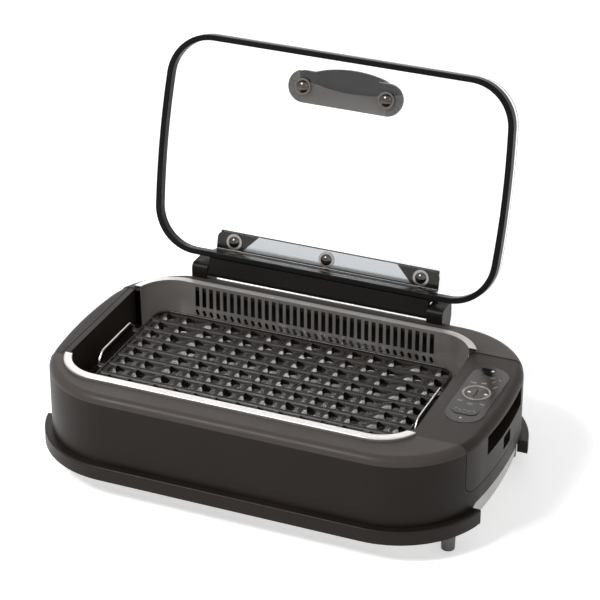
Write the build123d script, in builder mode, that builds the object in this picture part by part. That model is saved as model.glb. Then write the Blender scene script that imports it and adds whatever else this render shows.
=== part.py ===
"""Countertop smokeless grill with its hinged glass lid standing open.

The body is described about its own centre line: x runs along the front, y towards
the hinge and z up from the counter. The lid is described closed, about the middle
of its rim, and its frame is then swung open about the hinge axis.
"""

import os
from math import cos, radians, sin, sqrt

from build123d import *

# Body shell
body_width = 510.0
body_depth = 306.0
body_corner = 99.0
end_bow = 21.3
housing_top = 124.0
housing_wall = 3.0
top_thickness = 3.0
shoulder = 9.0
inner_step = 10.0

# Base skirt, pan and feet
skirt_reach = 8.5
skirt_ledge = 41.5
skirt_bottom = 25.1
skirt_edge = 2.0
tongue_top = 62.0
tongue_thickness = 2.0
grip_cut_length = 152.0
grip_cut_y = -4.0
grip_cut_top = 46.0
grip_cut_corner = 8.0
pan_inset = 5.5
pan_end_gap = 13.0
pan_corner = 80.0
pan_bow = 17.3
pan_bottom = 21.0
pan_top = 60.0
pan_steel = 1.0
foot_inset_x = 25.5
foot_inset_y = 51.7
foot_radius = 8.2
foot_tip_radius = 7.2
foot_pad_radius = 11.0
foot_pad_thickness = 6.0
foot_pad_gap = 0.8

# Cooking chamber
left_margin = 24.0
right_margin = 62.6
front_margin = 29.9
rear_margin = 24.0
liner_corner = 52.4
liner_steel = 0.9
flange_width = 8.0
flange_rise = 3.75
flange_lip_gap = 0.2
flange_round = 1.5
liner_drop = 67.0
notch_drop = 6.0
liner_floor_round = 6.0
slot_margin = 60.0
slot_pitch = 8.8
slot_width = 5.1
slot_height = 26.0
slot_shift = 1.0
slot_drop = 13.6
vent_height = 8.0
vent_width = 4.0
vent_drop = 34.4
vent_lean = 20.0

# End trims beside the chamber
trim_y = 3.0
left_cap_length = 170.0
module_length = 191.0
trim_gap = 0.8
trim_sink = 0.8
trim_wall = 2.5
skin_thickness = 2.0
skin_gap = 0.5
skin_drop = 38.0
cap_skin_inset = 1.0
cap_skin_drop = 48.0
cap_foot = 10.0
notch_reach = 16.0
cap_drop = 14.2
module_drop = 60.0
module_corner = 12.0
module_edge_slope = 4.0
cap_groove = 0.8
cap_groove_inset = 19.8

# Control panel, in the plan of the module
panel_inset = 37.0
panel_y = 12.5
panel_length = 123.0
panel_width = 43.0
panel_thickness = 0.8
panel_sink = 0.4
dial_inset = 38.5
dial_y = 14.5
dial_radius = 12.6
ring_width = 2.8
button_gap = 0.4
button_travel = 0.8
button_rise = 0.8
button_depth = 5.0
power_inset = 37.5
power_y = -25.0
power_length = 29.0
power_width = 15.0
display_inset = 42.5
display_y = 62.0
display_size = 15.0
display_seat = 0.8
display_gap = 0.1
module_screen = 11.8
lamp_y = -40.0
lamp_radius = 1.2
board_drop = 12.0
board_width = 33.6
board_length = 112.0
board_thickness = 1.6
board_inset = 45.0
post_radius = 2.4
post_inset = 3.4
post_bore = 6.0
board_screw_radius = 0.9
board_screw_head = 1.1
board_screw_head_radius = 1.8
board_screw_reach = 4.0
ring_height = 1.0
collar_width = 1.0
button_round = 0.3
switch_size = 6.0
switch_height = 5.5

# Handle recess and power inlet in the end wall
recess_length = 115.0
recess_height = 23.0
recess_y = 7.0
recess_drop = 21.5
recess_reach = 20.0
recess_wall = 2.0
inlet_y = 8.5
inlet_drop = 45.0
inlet_length = 23.0
inlet_height = 15.5
inlet_reach = 18.0
inlet_wall = 1.6
inlet_corner = 2.0
inlet_set_back = 0.8
inlet_pin_radius = 1.6
inlet_pin_length = 7.0
inlet_pin_pitch = 6.0
inlet_pin_count = 3

# Grill plate
plate_shift = -0.7
plate_gap_x = 28.2
plate_gap_y = 24.55
plate_corner = 18.0
plate_drop = 34.0
plate_thickness = 3.0
plate_rim = 3.0
plate_rim_height = 7.0
rib_pitch = 22.0
rib_width = 4.0
rib_height = 6.0
rib_taper = 12.0
hood_pitch = 25.0
hood_end_step = 31.0
hood_length = 13.0
hood_width = 14.0
hood_height = 5.5
hood_taper = 40.0
hood_bite = 4.6
drain_length = 12.0
drain_width = 9.0
leg_radius = 4.5
leg_inset_x = 11.5
loop_radius = 1.6
loop_half = 44.0
loop_top_half = 31.0
loop_shoulder = 24.0
loop_drop = 15.0
loop_offset = 5.0
loop_bend = 6.0
lug_reach = 7.0
lug_width = 8.0

# Drip tray, heater and its socket
tray_inset_x = 22.5
tray_inset_y = 4.0
tray_corner = 14.0
tray_height = 16.0
tray_metal = 1.2
tray_flange = 4.0
heater_radius = 3.4
heater_drop = 43.0
heater_left_gap = 11.0
heater_right_gap = 23.0
heater_inner_gap = 71.0
heater_side_gap = 24.0
heater_inner_y = 26.0
heater_lead_y = 20.0
heater_bend = 21.0
block_gap = 2.0
block_length = 22.0
block_half = 32.0
block_top_drop = 37.0
block_bottom_drop = 50.5
block_bore = 8.0
support_left_reach = 50.0
support_right_reach = 10.0
support_width = 8.0
support_thickness = 1.2
support_seat = 2.5
socket_drop = 51.5
socket_half = 34.0
socket_shift = 1.0
contact_radius = 2.0
contact_pitch = 18.0
contact_drop = 61.0
contact_seat = 6.0
probe_radius = 1.5
probe_length = 34.0


# Smoke path behind and under the chamber
duct_margin = 6.5
duct_gap = 7.5
duct_wall = 1.6
duct_top_drop = 4.5
throat_half = 70.0
throat_front = 5.0
throat_shelf_drop = 40.0
throat_set_back = 4.5
throat_gap = 1.5
fan_y = 58.0
fan_radius = 40.0
fan_tip_gap = 1.5
hub_radius = 18.0
hub_wall = 1.4
hub_rise = 7.5
hub_height = 16.5
blade_count = 7
blade_thickness = 1.8
blade_height = 14.0
blade_pitch_angle = 38.0
motor_radius = 15.5
motor_rise = 5.6
motor_height = 15.4
shaft_radius = 1.5
shaft_gap = 0.05
strut_count = 3
strut_width = 6.0
grille_count = 9
grille_pitch = 8.0
grille_width = 4.0
grille_length = 66.0

# Assembly screws and their posts
screw_post_radius = 4.0
left_post_inset = 75.0
left_post_side = 27.0
right_post_inset = 90.0
right_post_side = 32.5
front_post_inset = 26.0
screw_radius = 1.8
screw_head_radius = 3.6
screw_head = 2.2
screw_length = 14.0
foot_screw_length = 12.0

# Power board on the pan
board2_inset = 47.0
board2_y = -8.0
board2_width = 46.0
board2_length = 96.0
board2_rise = 6.0
spacer_inset = 6.0
coil_size = 30.0
coil_y = 24.0
can_pitch = 22.0
coil_height = 20.0
can_radius = 8.0

# Lid
lid_shift = 5.0
lid_overhang_x = 1.25
lid_overhang_y = 3.1
lid_corner = 54.5
lid_bow = 6.5
rim_width = 6.6
rim_height = 11.0
rim_wall = 1.2
rim_floor = 2.0
rim_round = 0.9
glass = 3.6
dish_depth = 25.0
dish_round = 2.4
dish_outer_round = 7.0
seat_gap = 0.3
open_angle = 104.56
hinge_set_back = 18.05
hinge_rise = 7.1

# Hinge hardware
hinge_pin_radius = 3.0
hinge_pin_gap = 0.05
hinge_pin_length = 30.0
bar_pin_gap = 0.02
bar_chamfer = 7.4
knuckle_radius = 5.0
bar_half = 135.5
bar_thickness = 5.0
bar_leg = 28.0
bar_leg_thickness = 2.8
tower_side_gap = 0.5
tower_width = 19.4
tower_front_reach = 6.2
tower_back_reach = 24.8
tower_cover = 9.9
tower_skirt = 24.0
tower_skirt_depth = 10.0
tower_heel = 2.0
tower_screw_reach = 5.0
tower_round = 6.0
tower_gap = 0.3
tower_screw_drop = 14.0
strip_half = 138.0
strip_steel = 1.4
strip_flange = 13.0
strip_corner = 8.0
strip_bend = 2.6
strip_screw_inset = 17.4
strip_reach = 10.3
strip_screw_pitch = 116.2

# Lid fasteners and handle
dome_radius = 6.6
dome_height = 4.0
dome_edge = 0.25
washer_radius = 9.6
washer_thickness = 1.2
lid_screw_radius = 2.5
bush_radius = 3.8
bush_gap = 0.1
handle_inset = 46.1
handle_screw_pitch = 51.0
gasket_length = 140.0
gasket_width = 38.0
gasket_thickness = 1.5
gasket_cut_left = -57.0
gasket_cut_side = 9.0
gasket_cut_sag = 0.5
grip_half = 64.0
grip_height = 28.0
grip_band = 7.0
grip_crown_half = 40.0
grip_shoulder = 4.0
grip_bend = 12.0
grip_front = 22.5
grip_front_end = 8.0
grip_back = 6.5
grip_back_end = 5.5
grip_edge = 2.0
foot_inner_half = 38.0
foot_edge = 1.0
foot_height = 5.0
handle_washer_radius = 10.0
handle_dome_radius = 7.4

# Places that follow from the sizes above
liner_width = body_width - left_margin - right_margin
liner_depth = body_depth - front_margin - rear_margin
liner_x = (left_margin - right_margin) / 2
liner_left = liner_x - liner_width / 2
liner_right = liner_x + liner_width / 2
liner_y = (front_margin - rear_margin) / 2
liner_floor = housing_top - liner_drop
tub_floor = liner_floor + liner_steel
wall_inset = flange_width + liner_steel
tub_back = liner_y + liner_depth / 2 - flange_width
slot_x = liner_x + slot_shift
slot_count = int((liner_width - 2 * slot_margin) / slot_pitch)
skin_half = liner_depth / 2 - liner_corner
cap_skin = liner_left + cap_skin_inset
module_skin = liner_right - wall_inset - skin_gap - skin_thickness
module_top = housing_top - trim_sink
panel_x = body_width / 2 - panel_inset
dial_x = body_width / 2 - dial_inset
power_x = body_width / 2 - power_inset
display_x = body_width / 2 - display_inset
board_x = body_width / 2 - board_inset
board2_x = body_width / 2 - board2_inset
ring_outer = dial_radius + button_gap + ring_width
foot_x = body_width / 2 - foot_inset_x
foot_y = body_depth / 2 - foot_inset_y
foot_places = [(sx * foot_x, sy * foot_y) for sx in (-1, 1) for sy in (-1, 1)]
pan_floor = pan_bottom + pan_steel
plate_x = liner_x + plate_shift
plate_width = liner_width - 2 * plate_gap_x
plate_depth = liner_depth - 2 * plate_gap_y
plate_bottom = housing_top - plate_drop
plate_top = plate_bottom + plate_thickness
row_count = int((plate_depth - 2 * plate_rim + rib_width) / rib_pitch)
drain_shift = (hood_length + drain_width) / 2 - hood_bite
hood_reach = plate_width / 2 - plate_rim - hood_end_step - hood_pitch - drain_shift - drain_width / 2
hood_count = int(2 * hood_reach / hood_pitch) + 1
hood_end = (hood_count - 1) * hood_pitch / 2 + hood_end_step
hood_end_places = [(sx * hood_end + step, 0) for sx in (-1, 1) for step in (0, sx * hood_pitch)]
tray_width = plate_width - 2 * tray_inset_x
tray_depth = plate_depth - 2 * tray_inset_y
tray_left = plate_x - tray_width / 2
tray_right = plate_x + tray_width / 2
tray_top = tub_floor + tray_height
heater_z = housing_top - heater_drop
heater_left = tray_left + heater_left_gap
heater_right = tray_right - heater_right_gap
heater_inner_right = tray_right - heater_inner_gap
heater_outer_y = tray_depth / 2 - heater_side_gap
block_left = tray_right + tray_flange + block_gap
block_right = block_left + block_length
support_left = heater_left + support_left_reach
support_right = heater_inner_right + support_right_reach
support_half = tray_depth / 2 + support_seat
duct_half = ((slot_count - 1) * slot_pitch + slot_width) / 2 + duct_margin
duct_back = body_depth / 2 - housing_wall - duct_gap
throat_shelf = housing_top - throat_shelf_drop
throat_back = duct_back - throat_set_back
throat_ceiling = liner_floor - throat_gap
hub_bottom = pan_floor + hub_rise
hub_top = hub_bottom + hub_height
motor_bottom = pan_floor + motor_rise
motor_top = motor_bottom + motor_height
left_post_x = left_post_inset - body_width / 2
right_post_x = body_width / 2 - right_post_inset
screw_post_places = [(plate_x, front_post_inset - body_depth / 2)] + [
    (post_x, sy * (body_depth / 2 - post_side))
    for post_x, post_side in ((left_post_x, left_post_side), (right_post_x, right_post_side))
    for sy in (-1, 1)
]
lid_x = liner_x - lid_shift
lid_width = liner_width + 2 * lid_overhang_x
lid_depth = liner_depth + 2 * lid_overhang_y
rim_z = housing_top + flange_rise + seat_gap
hinge_y = lid_depth / 2 + hinge_set_back
hinge_z = housing_top + hinge_rise
swing_angle = radians(open_angle)
glass_top = dish_depth + glass
tower_inner = bar_half + tower_side_gap
tower_outer = tower_inner + tower_width
tower_front = hinge_y - tower_front_reach
tower_back = hinge_y + tower_back_reach
tower_top = hinge_z + tower_cover
tower_screw_places = [
    (lid_x + sx * (tower_inner + tower_outer) / 2, housing_top - tower_screw_drop) for sx in (-1, 1)
]
handle_y = handle_inset - lid_depth / 2
strip_screw_y = lid_depth / 2 - strip_screw_inset


def swing(y, z):
    """Return where a point of the closed lid lies once the lid stands open."""
    dy, dz = y - hinge_y, z - hinge_z
    return (
        hinge_y + dy * cos(swing_angle) + dz * sin(swing_angle),
        hinge_z - dy * sin(swing_angle) + dz * cos(swing_angle),
    )


# The open grill stands centred over the origin, so the body sits forward of it
rear_reach = swing(handle_y - grip_front, rim_z + glass_top + grip_height)[0]
body_y = (body_depth / 2 + skirt_reach - rear_reach) / 2

body_frame = Location((0, body_y, 0))
lid_origin_y, lid_origin_z = swing(0, rim_z)
lid_frame = Plane(
    origin=(lid_x, body_y + lid_origin_y, lid_origin_z),
    x_dir=(1, 0, 0),
    z_dir=(0, sin(swing_angle), cos(swing_angle)),
).location


def level(z):
    """Horizontal plane of the body at height z."""
    return Plane(body_frame * Plane.XY.offset(z).location)


def facing(y):
    """Upright plane of the body at depth y, seen from the front."""
    return Plane(body_frame * Plane.XZ.offset(-y).location)


def side(x):
    """Upright plane of the body at x, seen from the right."""
    return Plane(body_frame * Plane.YZ.offset(x).location)


def lid_level(h):
    """Plane of the lid parallel to its rim, h above the rim's lower face."""
    return Plane(lid_frame * Plane.XY.offset(h).location)


def lid_side(x):
    """Plane across the lid at x, with the lid's depth and height in it."""
    return Plane(lid_frame * Plane.YZ.offset(x).location)


def bowed_rectangle(width, depth, bow, corner):
    """Plan outline with straight long sides, ends bowed outwards and round corners."""
    half_x, half_y = width / 2, depth / 2
    with BuildSketch(mode=Mode.PRIVATE) as plan:
        with BuildLine():
            Line((-half_x + bow, -half_y), (half_x - bow, -half_y))
            ThreePointArc((half_x - bow, -half_y), (half_x, 0), (half_x - bow, half_y))
            Line((half_x - bow, half_y), (-half_x + bow, half_y))
            ThreePointArc((-half_x + bow, half_y), (-half_x, 0), (-half_x + bow, -half_y))
        make_face()
        fillet(plan.vertices(), corner)
    return plan.sketch


def body_plan(inset):
    """Outline of the body, drawn in by the given inset."""
    return bowed_rectangle(
        body_width - 2 * inset, body_depth - 2 * inset, end_bow, body_corner - inset
    )


def lid_plan(inset):
    """Outline of the lid, drawn in by the given inset."""
    return bowed_rectangle(
        lid_width - 2 * inset, lid_depth - 2 * inset, lid_bow, lid_corner - inset
    )


def liner_plan(inset):
    """Outline of the cooking chamber, drawn in by the given inset."""
    with BuildSketch(mode=Mode.PRIVATE) as plan:
        with Locations((liner_x, liner_y)):
            RectangleRounded(
                liner_width - 2 * inset, liner_depth - 2 * inset, liner_corner - inset
            )
    return plan.sketch


def pan_plan(inset):
    """Outline of the base pan, drawn in by the given inset and notched round the feet."""
    outline = bowed_rectangle(
        body_width - 2 * (pan_inset + inset),
        body_depth - 2 * (pan_end_gap + inset),
        pan_bow,
        pan_corner - inset,
    )
    with BuildSketch(mode=Mode.PRIVATE) as plan:
        add(outline)
        add(body_plan(housing_wall + tongue_thickness + seat_gap + inset), mode=Mode.INTERSECT)
        with Locations(foot_places):
            Circle(foot_pad_radius + foot_pad_gap + inset, mode=Mode.SUBTRACT)
    return plan.sketch


def domed_screw(head_radius, head_height, shank_radius, shank_length):
    """A screw standing on its shank: a domed head above z = 0 and the shank below."""
    with BuildPart(mode=Mode.PRIVATE) as screw:
        with BuildSketch(Plane.XZ):
            with BuildLine():
                Polyline(
                    (0, head_height),
                    (0, -shank_length),
                    (shank_radius, -shank_length),
                    (shank_radius, 0),
                    (head_radius, 0),
                    (head_radius, head_height * dome_edge),
                )
                TangentArc((0, head_height), (head_radius, head_height * dome_edge), tangent=(1, 0))
            make_face()
        revolve(axis=Axis.Z)
    return screw.part


os.makedirs("parts", exist_ok=True)

# Outer housing: a bowed shell with a rounded shoulder and a flat top ring
with BuildPart() as outer_housing:
    with BuildSketch(level(skirt_ledge)):
        add(body_plan(0))
    extrude(amount=housing_top - skirt_ledge)
    fillet(outer_housing.faces().sort_by(Axis.Z)[-1].edges(), shoulder)
    with BuildSketch(level(skirt_ledge)):
        add(body_plan(housing_wall))
    extrude(amount=housing_top - inner_step - skirt_ledge, mode=Mode.SUBTRACT)
    with BuildSketch(level(housing_top - inner_step)):
        add(body_plan(shoulder))
    extrude(amount=inner_step - top_thickness, mode=Mode.SUBTRACT)
    # The chamber hangs in this opening
    with BuildSketch(level(housing_top - inner_step)):
        add(liner_plan(flange_width - seat_gap))
    extrude(amount=2 * inner_step, mode=Mode.SUBTRACT)
    # Seats of the left end cap and of the control module
    with BuildSketch(level(housing_top - cap_drop)):
        with Locations((liner_left, trim_y)):
            Rectangle(
                2 * (body_width / 2 + liner_left) + 4 * wall_inset,
                left_cap_length + 2 * trim_gap,
            )
    extrude(amount=2 * cap_drop, mode=Mode.SUBTRACT)
    module_seat = module_length + 2 * trim_gap
    with BuildSketch(side(module_skin)) as module_opening:
        with Locations((trim_y, housing_top)):
            Rectangle(module_seat, 2 * (module_drop + trim_gap))
        fillet(module_opening.vertices().group_by(Axis.Y)[0], module_corner + trim_gap)
    extrude(amount=body_width / 2, mode=Mode.SUBTRACT)
    # Raised lower edge over the hand grips at both ends
    with BuildSketch(side(-body_width / 2 - skirt_reach)) as grip_arch:
        with Locations((grip_cut_y, skirt_bottom)):
            Rectangle(grip_cut_length, 2 * (grip_cut_top - skirt_bottom))
        fillet(grip_arch.vertices().group_by(Axis.Y)[-1], grip_cut_corner)
    extrude(amount=body_width + 2 * skirt_reach, mode=Mode.SUBTRACT)
    # Posts for the pan screws, hanging from the top ring
    with BuildSketch(level(pan_floor)):
        with Locations(screw_post_places):
            Circle(screw_post_radius)
    extrude(amount=housing_top - top_thickness - pan_floor)
    with BuildSketch(level(pan_floor)):
        with Locations(screw_post_places):
            Circle(screw_radius)
    extrude(amount=screw_length, mode=Mode.SUBTRACT)
    # Holes for the screws that hold the hinge towers
    with BuildSketch(facing(body_depth / 2)):
        with Locations(tower_screw_places):
            Circle(screw_radius + hinge_pin_gap)
    extrude(amount=2 * housing_wall, mode=Mode.SUBTRACT)
outer_housing.part.label = "outer_housing"
export_step(outer_housing.part, "parts/outer_housing.step")

# Base skirt: the stepped band round the foot of the body, with a tongue inside the wall
with BuildPart() as base_skirt:
    with BuildSketch(level(skirt_bottom)):
        add(body_plan(-skirt_reach))
    extrude(amount=skirt_ledge - skirt_bottom)
    fillet(base_skirt.faces().sort_by(Axis.Z)[-1].edges(), skirt_edge)
    with BuildSketch(level(skirt_bottom)):
        add(body_plan(housing_wall))
    extrude(amount=skirt_ledge - skirt_bottom, mode=Mode.SUBTRACT)
    with BuildSketch(level(skirt_ledge - skirt_edge)):
        add(body_plan(housing_wall))
        add(body_plan(housing_wall + tongue_thickness), mode=Mode.SUBTRACT)
    extrude(amount=tongue_top - skirt_ledge + skirt_edge)
    with BuildSketch(side(-body_width)) as grip_cut:
        with Locations((grip_cut_y, skirt_bottom)):
            Rectangle(grip_cut_length, 2 * (grip_cut_top - skirt_bottom))
        fillet(grip_cut.vertices().group_by(Axis.Y)[-1], grip_cut_corner)
    extrude(amount=2 * body_width, mode=Mode.SUBTRACT)
    with BuildSketch(level(skirt_bottom)):
        with Locations(foot_places):
            Circle(foot_pad_radius)
    extrude(amount=foot_pad_thickness)
    with BuildSketch(level(skirt_bottom)):
        with Locations(foot_places):
            Circle(screw_radius)
    extrude(amount=foot_pad_thickness, mode=Mode.SUBTRACT)
base_skirt.part.label = "base_skirt"
export_step(base_skirt.part, "parts/base_skirt.step")

# Bottom pan: a light steel tray with the exhaust grille under the fan
with BuildPart() as bottom_pan:
    with BuildSketch(level(pan_bottom)):
        add(pan_plan(0))
    extrude(amount=pan_top - pan_bottom)
    with BuildSketch(level(pan_floor)):
        add(pan_plan(pan_steel))
    extrude(amount=pan_top - pan_bottom, mode=Mode.SUBTRACT)
    with BuildSketch(level(pan_bottom)):
        with Locations((0, fan_y)):
            with GridLocations(grille_pitch, 0, grille_count, 1):
                SlotOverall(grille_length, grille_width, rotation=90)
        with Locations(screw_post_places):
            Circle(screw_radius + hinge_pin_gap)
    extrude(amount=pan_steel, mode=Mode.SUBTRACT)
bottom_pan.part.label = "bottom_pan"
export_step(bottom_pan.part, "parts/bottom_pan.step")

# Four tapered rubber feet, each with a recess for its screw
foot_recess = skirt_bottom - screw_head - foot_screw_length / 2
for side_name, sx in (("left", -1), ("right", 1)):
    for end_name, sy in (("front", -1), ("rear", 1)):
        with BuildPart() as foot:
            with BuildSketch(level(0)):
                with Locations((sx * foot_x, sy * foot_y)):
                    Circle(foot_tip_radius)
            with BuildSketch(level(skirt_bottom)):
                with Locations((sx * foot_x, sy * foot_y)):
                    Circle(foot_radius)
            loft()
            with BuildSketch(level(0)):
                with Locations((sx * foot_x, sy * foot_y)):
                    Circle(screw_head_radius + seat_gap)
            extrude(amount=foot_recess, mode=Mode.SUBTRACT)
            with BuildSketch(level(0)):
                with Locations((sx * foot_x, sy * foot_y)):
                    Circle(screw_radius)
            extrude(amount=skirt_bottom, mode=Mode.SUBTRACT)
        foot.part.label = f"foot_{end_name}_{side_name}"
        export_step(foot.part, f"parts/foot_{end_name}_{side_name}.step")

with BuildPart() as foot_screws:
    with BuildSketch(level(foot_recess - screw_head)):
        with Locations(foot_places):
            Circle(screw_head_radius)
    extrude(amount=screw_head)
    with BuildSketch(level(foot_recess)):
        with Locations(foot_places):
            Circle(screw_radius)
    extrude(amount=foot_screw_length)
foot_screws.part.label = "foot_screws"
export_step(foot_screws.part, "parts/foot_screws.step")

with BuildPart() as pan_screws:
    with BuildSketch(level(pan_bottom - screw_head)):
        with Locations(screw_post_places):
            Circle(screw_head_radius)
    extrude(amount=screw_head)
    with BuildSketch(level(pan_bottom)):
        with Locations(screw_post_places):
            Circle(screw_radius)
    extrude(amount=screw_length)
pan_screws.part.label = "pan_screws"
export_step(pan_screws.part, "parts/pan_screws.step")

# Chamber liner: a pressed steel tub hung by its flange, slotted along the back
with BuildPart() as chamber_liner:
    with BuildSketch(level(liner_floor)):
        add(liner_plan(flange_width))
    extrude(amount=liner_drop + flange_rise)
    fillet(chamber_liner.faces().sort_by(Axis.Z)[0].edges(), liner_floor_round + liner_steel)
    with BuildSketch(level(housing_top + flange_lip_gap)):
        add(liner_plan(0))
    extrude(amount=flange_rise - flange_lip_gap)
    fillet(chamber_liner.faces().sort_by(Axis.Z)[-1].edges(), flange_round)
    with BuildSketch(level(housing_top + flange_lip_gap)):
        add(liner_plan(liner_steel))
        add(liner_plan(flange_width), mode=Mode.SUBTRACT)
    extrude(amount=flange_rise - flange_lip_gap - liner_steel, mode=Mode.SUBTRACT)
    with BuildPart(mode=Mode.PRIVATE) as tub_space:
        with BuildSketch(level(tub_floor)):
            add(liner_plan(wall_inset))
        extrude(amount=liner_drop + flange_rise)
        fillet(tub_space.faces().sort_by(Axis.Z)[0].edges(), liner_floor_round)
    add(tub_space.part, mode=Mode.SUBTRACT)
    # The flange stops short of the end cap, whose skin closes this end, and of the control module
    for notch_x, notch_bottom, notch_length in (
        (liner_left, cap_skin_drop + trim_gap, left_cap_length),
        (liner_right, notch_drop, module_length),
    ):
        with BuildSketch(level(housing_top - notch_bottom)):
            with Locations((notch_x, trim_y)):
                Rectangle(2 * notch_reach, notch_length + trim_gap)
        extrude(amount=notch_bottom + 2 * flange_rise, mode=Mode.SUBTRACT)
    with BuildSketch(facing(tub_back - 2 * liner_steel)):
        with Locations((slot_x, housing_top - slot_drop)):
            with GridLocations(slot_pitch, 0, slot_count, 1):
                Rectangle(slot_width, slot_height)
        with Locations((slot_x, housing_top - vent_drop)):
            with GridLocations(slot_pitch, 0, slot_count, 1):
                SlotOverall(vent_height, vent_width, rotation=90 + vent_lean)
    extrude(amount=-4 * liner_steel, mode=Mode.SUBTRACT)
chamber_liner.part.label = "chamber_liner"
export_step(chamber_liner.part, "parts/chamber_liner.step")

# Left end cap: top plate, outer edge that follows the bowed side, and the inner skin
with BuildPart() as left_end_cap:
    with BuildSketch(level(housing_top - cap_drop)):
        add(body_plan(trim_sink))
    extrude(amount=cap_drop - trim_sink)
    fillet(left_end_cap.faces().sort_by(Axis.Z)[-1].edges(), shoulder)
    with BuildSketch(level(housing_top - cap_drop)):
        add(body_plan(trim_sink + trim_wall))
    extrude(amount=cap_drop - trim_sink - shoulder, mode=Mode.SUBTRACT)
    with BuildSketch(level(housing_top - cap_drop)):
        add(body_plan(shoulder))
    extrude(amount=cap_drop - trim_sink - trim_wall, mode=Mode.SUBTRACT)
    with BuildSketch(level(0)):
        with Locations(((cap_skin - body_width) / 2, trim_y)):
            Rectangle(cap_skin + body_width, left_cap_length)
    extrude(amount=housing_top, mode=Mode.INTERSECT)
    with BuildSketch(level(housing_top - cap_skin_drop)):
        with Locations((cap_skin + skin_thickness / 2, trim_y)):
            Rectangle(skin_thickness, left_cap_length)
    extrude(amount=cap_skin_drop - trim_sink)
    # Foot of the skin, over the cut edge of the chamber
    with BuildSketch(level(housing_top - cap_skin_drop)):
        with Locations((cap_skin + cap_foot / 2, trim_y)):
            Rectangle(cap_foot, left_cap_length)
    extrude(amount=skin_thickness)
    with BuildSketch(level(module_top)):
        with Locations((cap_groove_inset - body_width / 2, trim_y)):
            Rectangle(cap_groove, left_cap_length)
    extrude(amount=-cap_groove, mode=Mode.SUBTRACT)
left_end_cap.part.label = "left_end_cap"
export_step(left_end_cap.part, "parts/left_end_cap.step")

# Control housing: the right end module with its panel seat, hand recess and inlet
recess_z = housing_top - recess_drop
inlet_z = housing_top - inlet_drop
board_top = housing_top - board_drop
post_places = [
    (board_x + sx * (board_width / 2 - post_inset), panel_y + sy * (board_length / 2 - post_inset))
    for sx in (-1, 1)
    for sy in (-1, 1)
]
with BuildPart() as control_housing:
    with BuildSketch(level(housing_top - module_drop)):
        add(body_plan(0))
    extrude(amount=module_drop - trim_sink)
    fillet(control_housing.faces().sort_by(Axis.Z)[-1].edges(), shoulder)
    with BuildSketch(level(housing_top - module_drop)):
        add(body_plan(trim_wall))
    extrude(amount=module_drop - trim_sink - shoulder, mode=Mode.SUBTRACT)
    with BuildSketch(level(housing_top - module_drop)):
        add(body_plan(shoulder))
    extrude(amount=module_drop - trim_sink - trim_wall, mode=Mode.SUBTRACT)
    with BuildSketch(side(module_skin)) as module_face:
        with Locations((trim_y, housing_top - module_drop / 2)):
            Rectangle(module_length, module_drop)
        fillet(module_face.vertices().group_by(Axis.Y)[0], module_corner)
    extrude(amount=body_width / 2, mode=Mode.INTERSECT)
    # Closing walls at the front and the rear of the module
    for inset, drop, rise in (
        (trim_wall, skin_drop, skin_drop - shoulder),
        (shoulder, shoulder, shoulder - trim_sink - trim_wall),
    ):
        with BuildSketch(level(housing_top - drop)):
            add(body_plan(inset))
            add(liner_plan(flange_width - seat_gap), mode=Mode.SUBTRACT)
            with Locations((module_skin + body_width / 2, trim_y)):
                Rectangle(body_width, module_length, mode=Mode.INTERSECT)
                Rectangle(body_width, module_length - 2 * trim_wall, mode=Mode.SUBTRACT)
        extrude(amount=rise)
    with BuildSketch(level(housing_top - skin_drop)):
        with Locations((module_skin + skin_thickness / 2, liner_y)):
            Rectangle(skin_thickness, 2 * skin_half)
    extrude(amount=skin_drop - trim_sink)
    # Sloped inner edge above the chamber
    with BuildSketch(facing(trim_y)):
        with BuildLine():
            Polyline(
                (module_skin, module_top),
                (module_skin + skin_thickness / 2, module_top),
                (module_skin, module_top - module_edge_slope),
                close=True,
            )
        make_face()
    extrude(amount=module_length, both=True, mode=Mode.SUBTRACT)
    # Posts for the control board
    with BuildSketch(level(board_top)):
        with Locations(post_places):
            Circle(post_radius)
    extrude(amount=board_drop - trim_sink - trim_wall)
    with BuildSketch(level(board_top)):
        with Locations(post_places):
            Circle(board_screw_radius)
    extrude(amount=post_bore, mode=Mode.SUBTRACT)
    # Seat of the panel overlay and the openings under it
    with BuildSketch(level(module_top)):
        with Locations((panel_x, panel_y)):
            SlotOverall(panel_length + 2 * panel_sink, panel_width + 2 * panel_sink, rotation=90)
    extrude(amount=-panel_sink, mode=Mode.SUBTRACT)
    with BuildSketch(level(module_top)):
        with Locations((dial_x, dial_y)):
            Circle(dial_radius + button_gap)
        with Locations((power_x, power_y)):
            SlotOverall(power_length + 2 * button_gap, power_width + 2 * button_gap)
        with Locations((display_x, display_y)):
            Rectangle(display_size - 2 * display_seat, display_size - 2 * display_seat)
        with Locations((power_x, lamp_y)):
            Circle(lamp_radius + hinge_pin_gap)
    extrude(amount=-2 * trim_wall, mode=Mode.SUBTRACT)
    # Hand recess: a pocket behind a long opening
    with BuildSketch(level(recess_z - recess_height / 2 - recess_wall)):
        add(body_plan(trim_wall / 2))
        add(body_plan(recess_reach + recess_wall), mode=Mode.SUBTRACT)
        with Locations((body_width / 2, recess_y)):
            Rectangle(body_width / 2, recess_length + 2 * recess_wall, mode=Mode.INTERSECT)
    extrude(amount=recess_height + 2 * recess_wall)
    with BuildSketch(level(recess_z - recess_height / 2)):
        add(body_plan(-skirt_reach))
        add(body_plan(recess_reach), mode=Mode.SUBTRACT)
        with Locations((body_width / 2, recess_y)):
            Rectangle(body_width / 2, recess_length, mode=Mode.INTERSECT)
    extrude(amount=recess_height, mode=Mode.SUBTRACT)
    # Opening for the power inlet
    with BuildSketch(side(body_width / 2 - inlet_reach)):
        with Locations((inlet_y, inlet_z)):
            RectangleRounded(inlet_length, inlet_height, inlet_corner)
    extrude(amount=body_width / 2, mode=Mode.SUBTRACT)
control_housing.part.label = "control_housing"
export_step(control_housing.part, "parts/control_housing.step")

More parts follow.
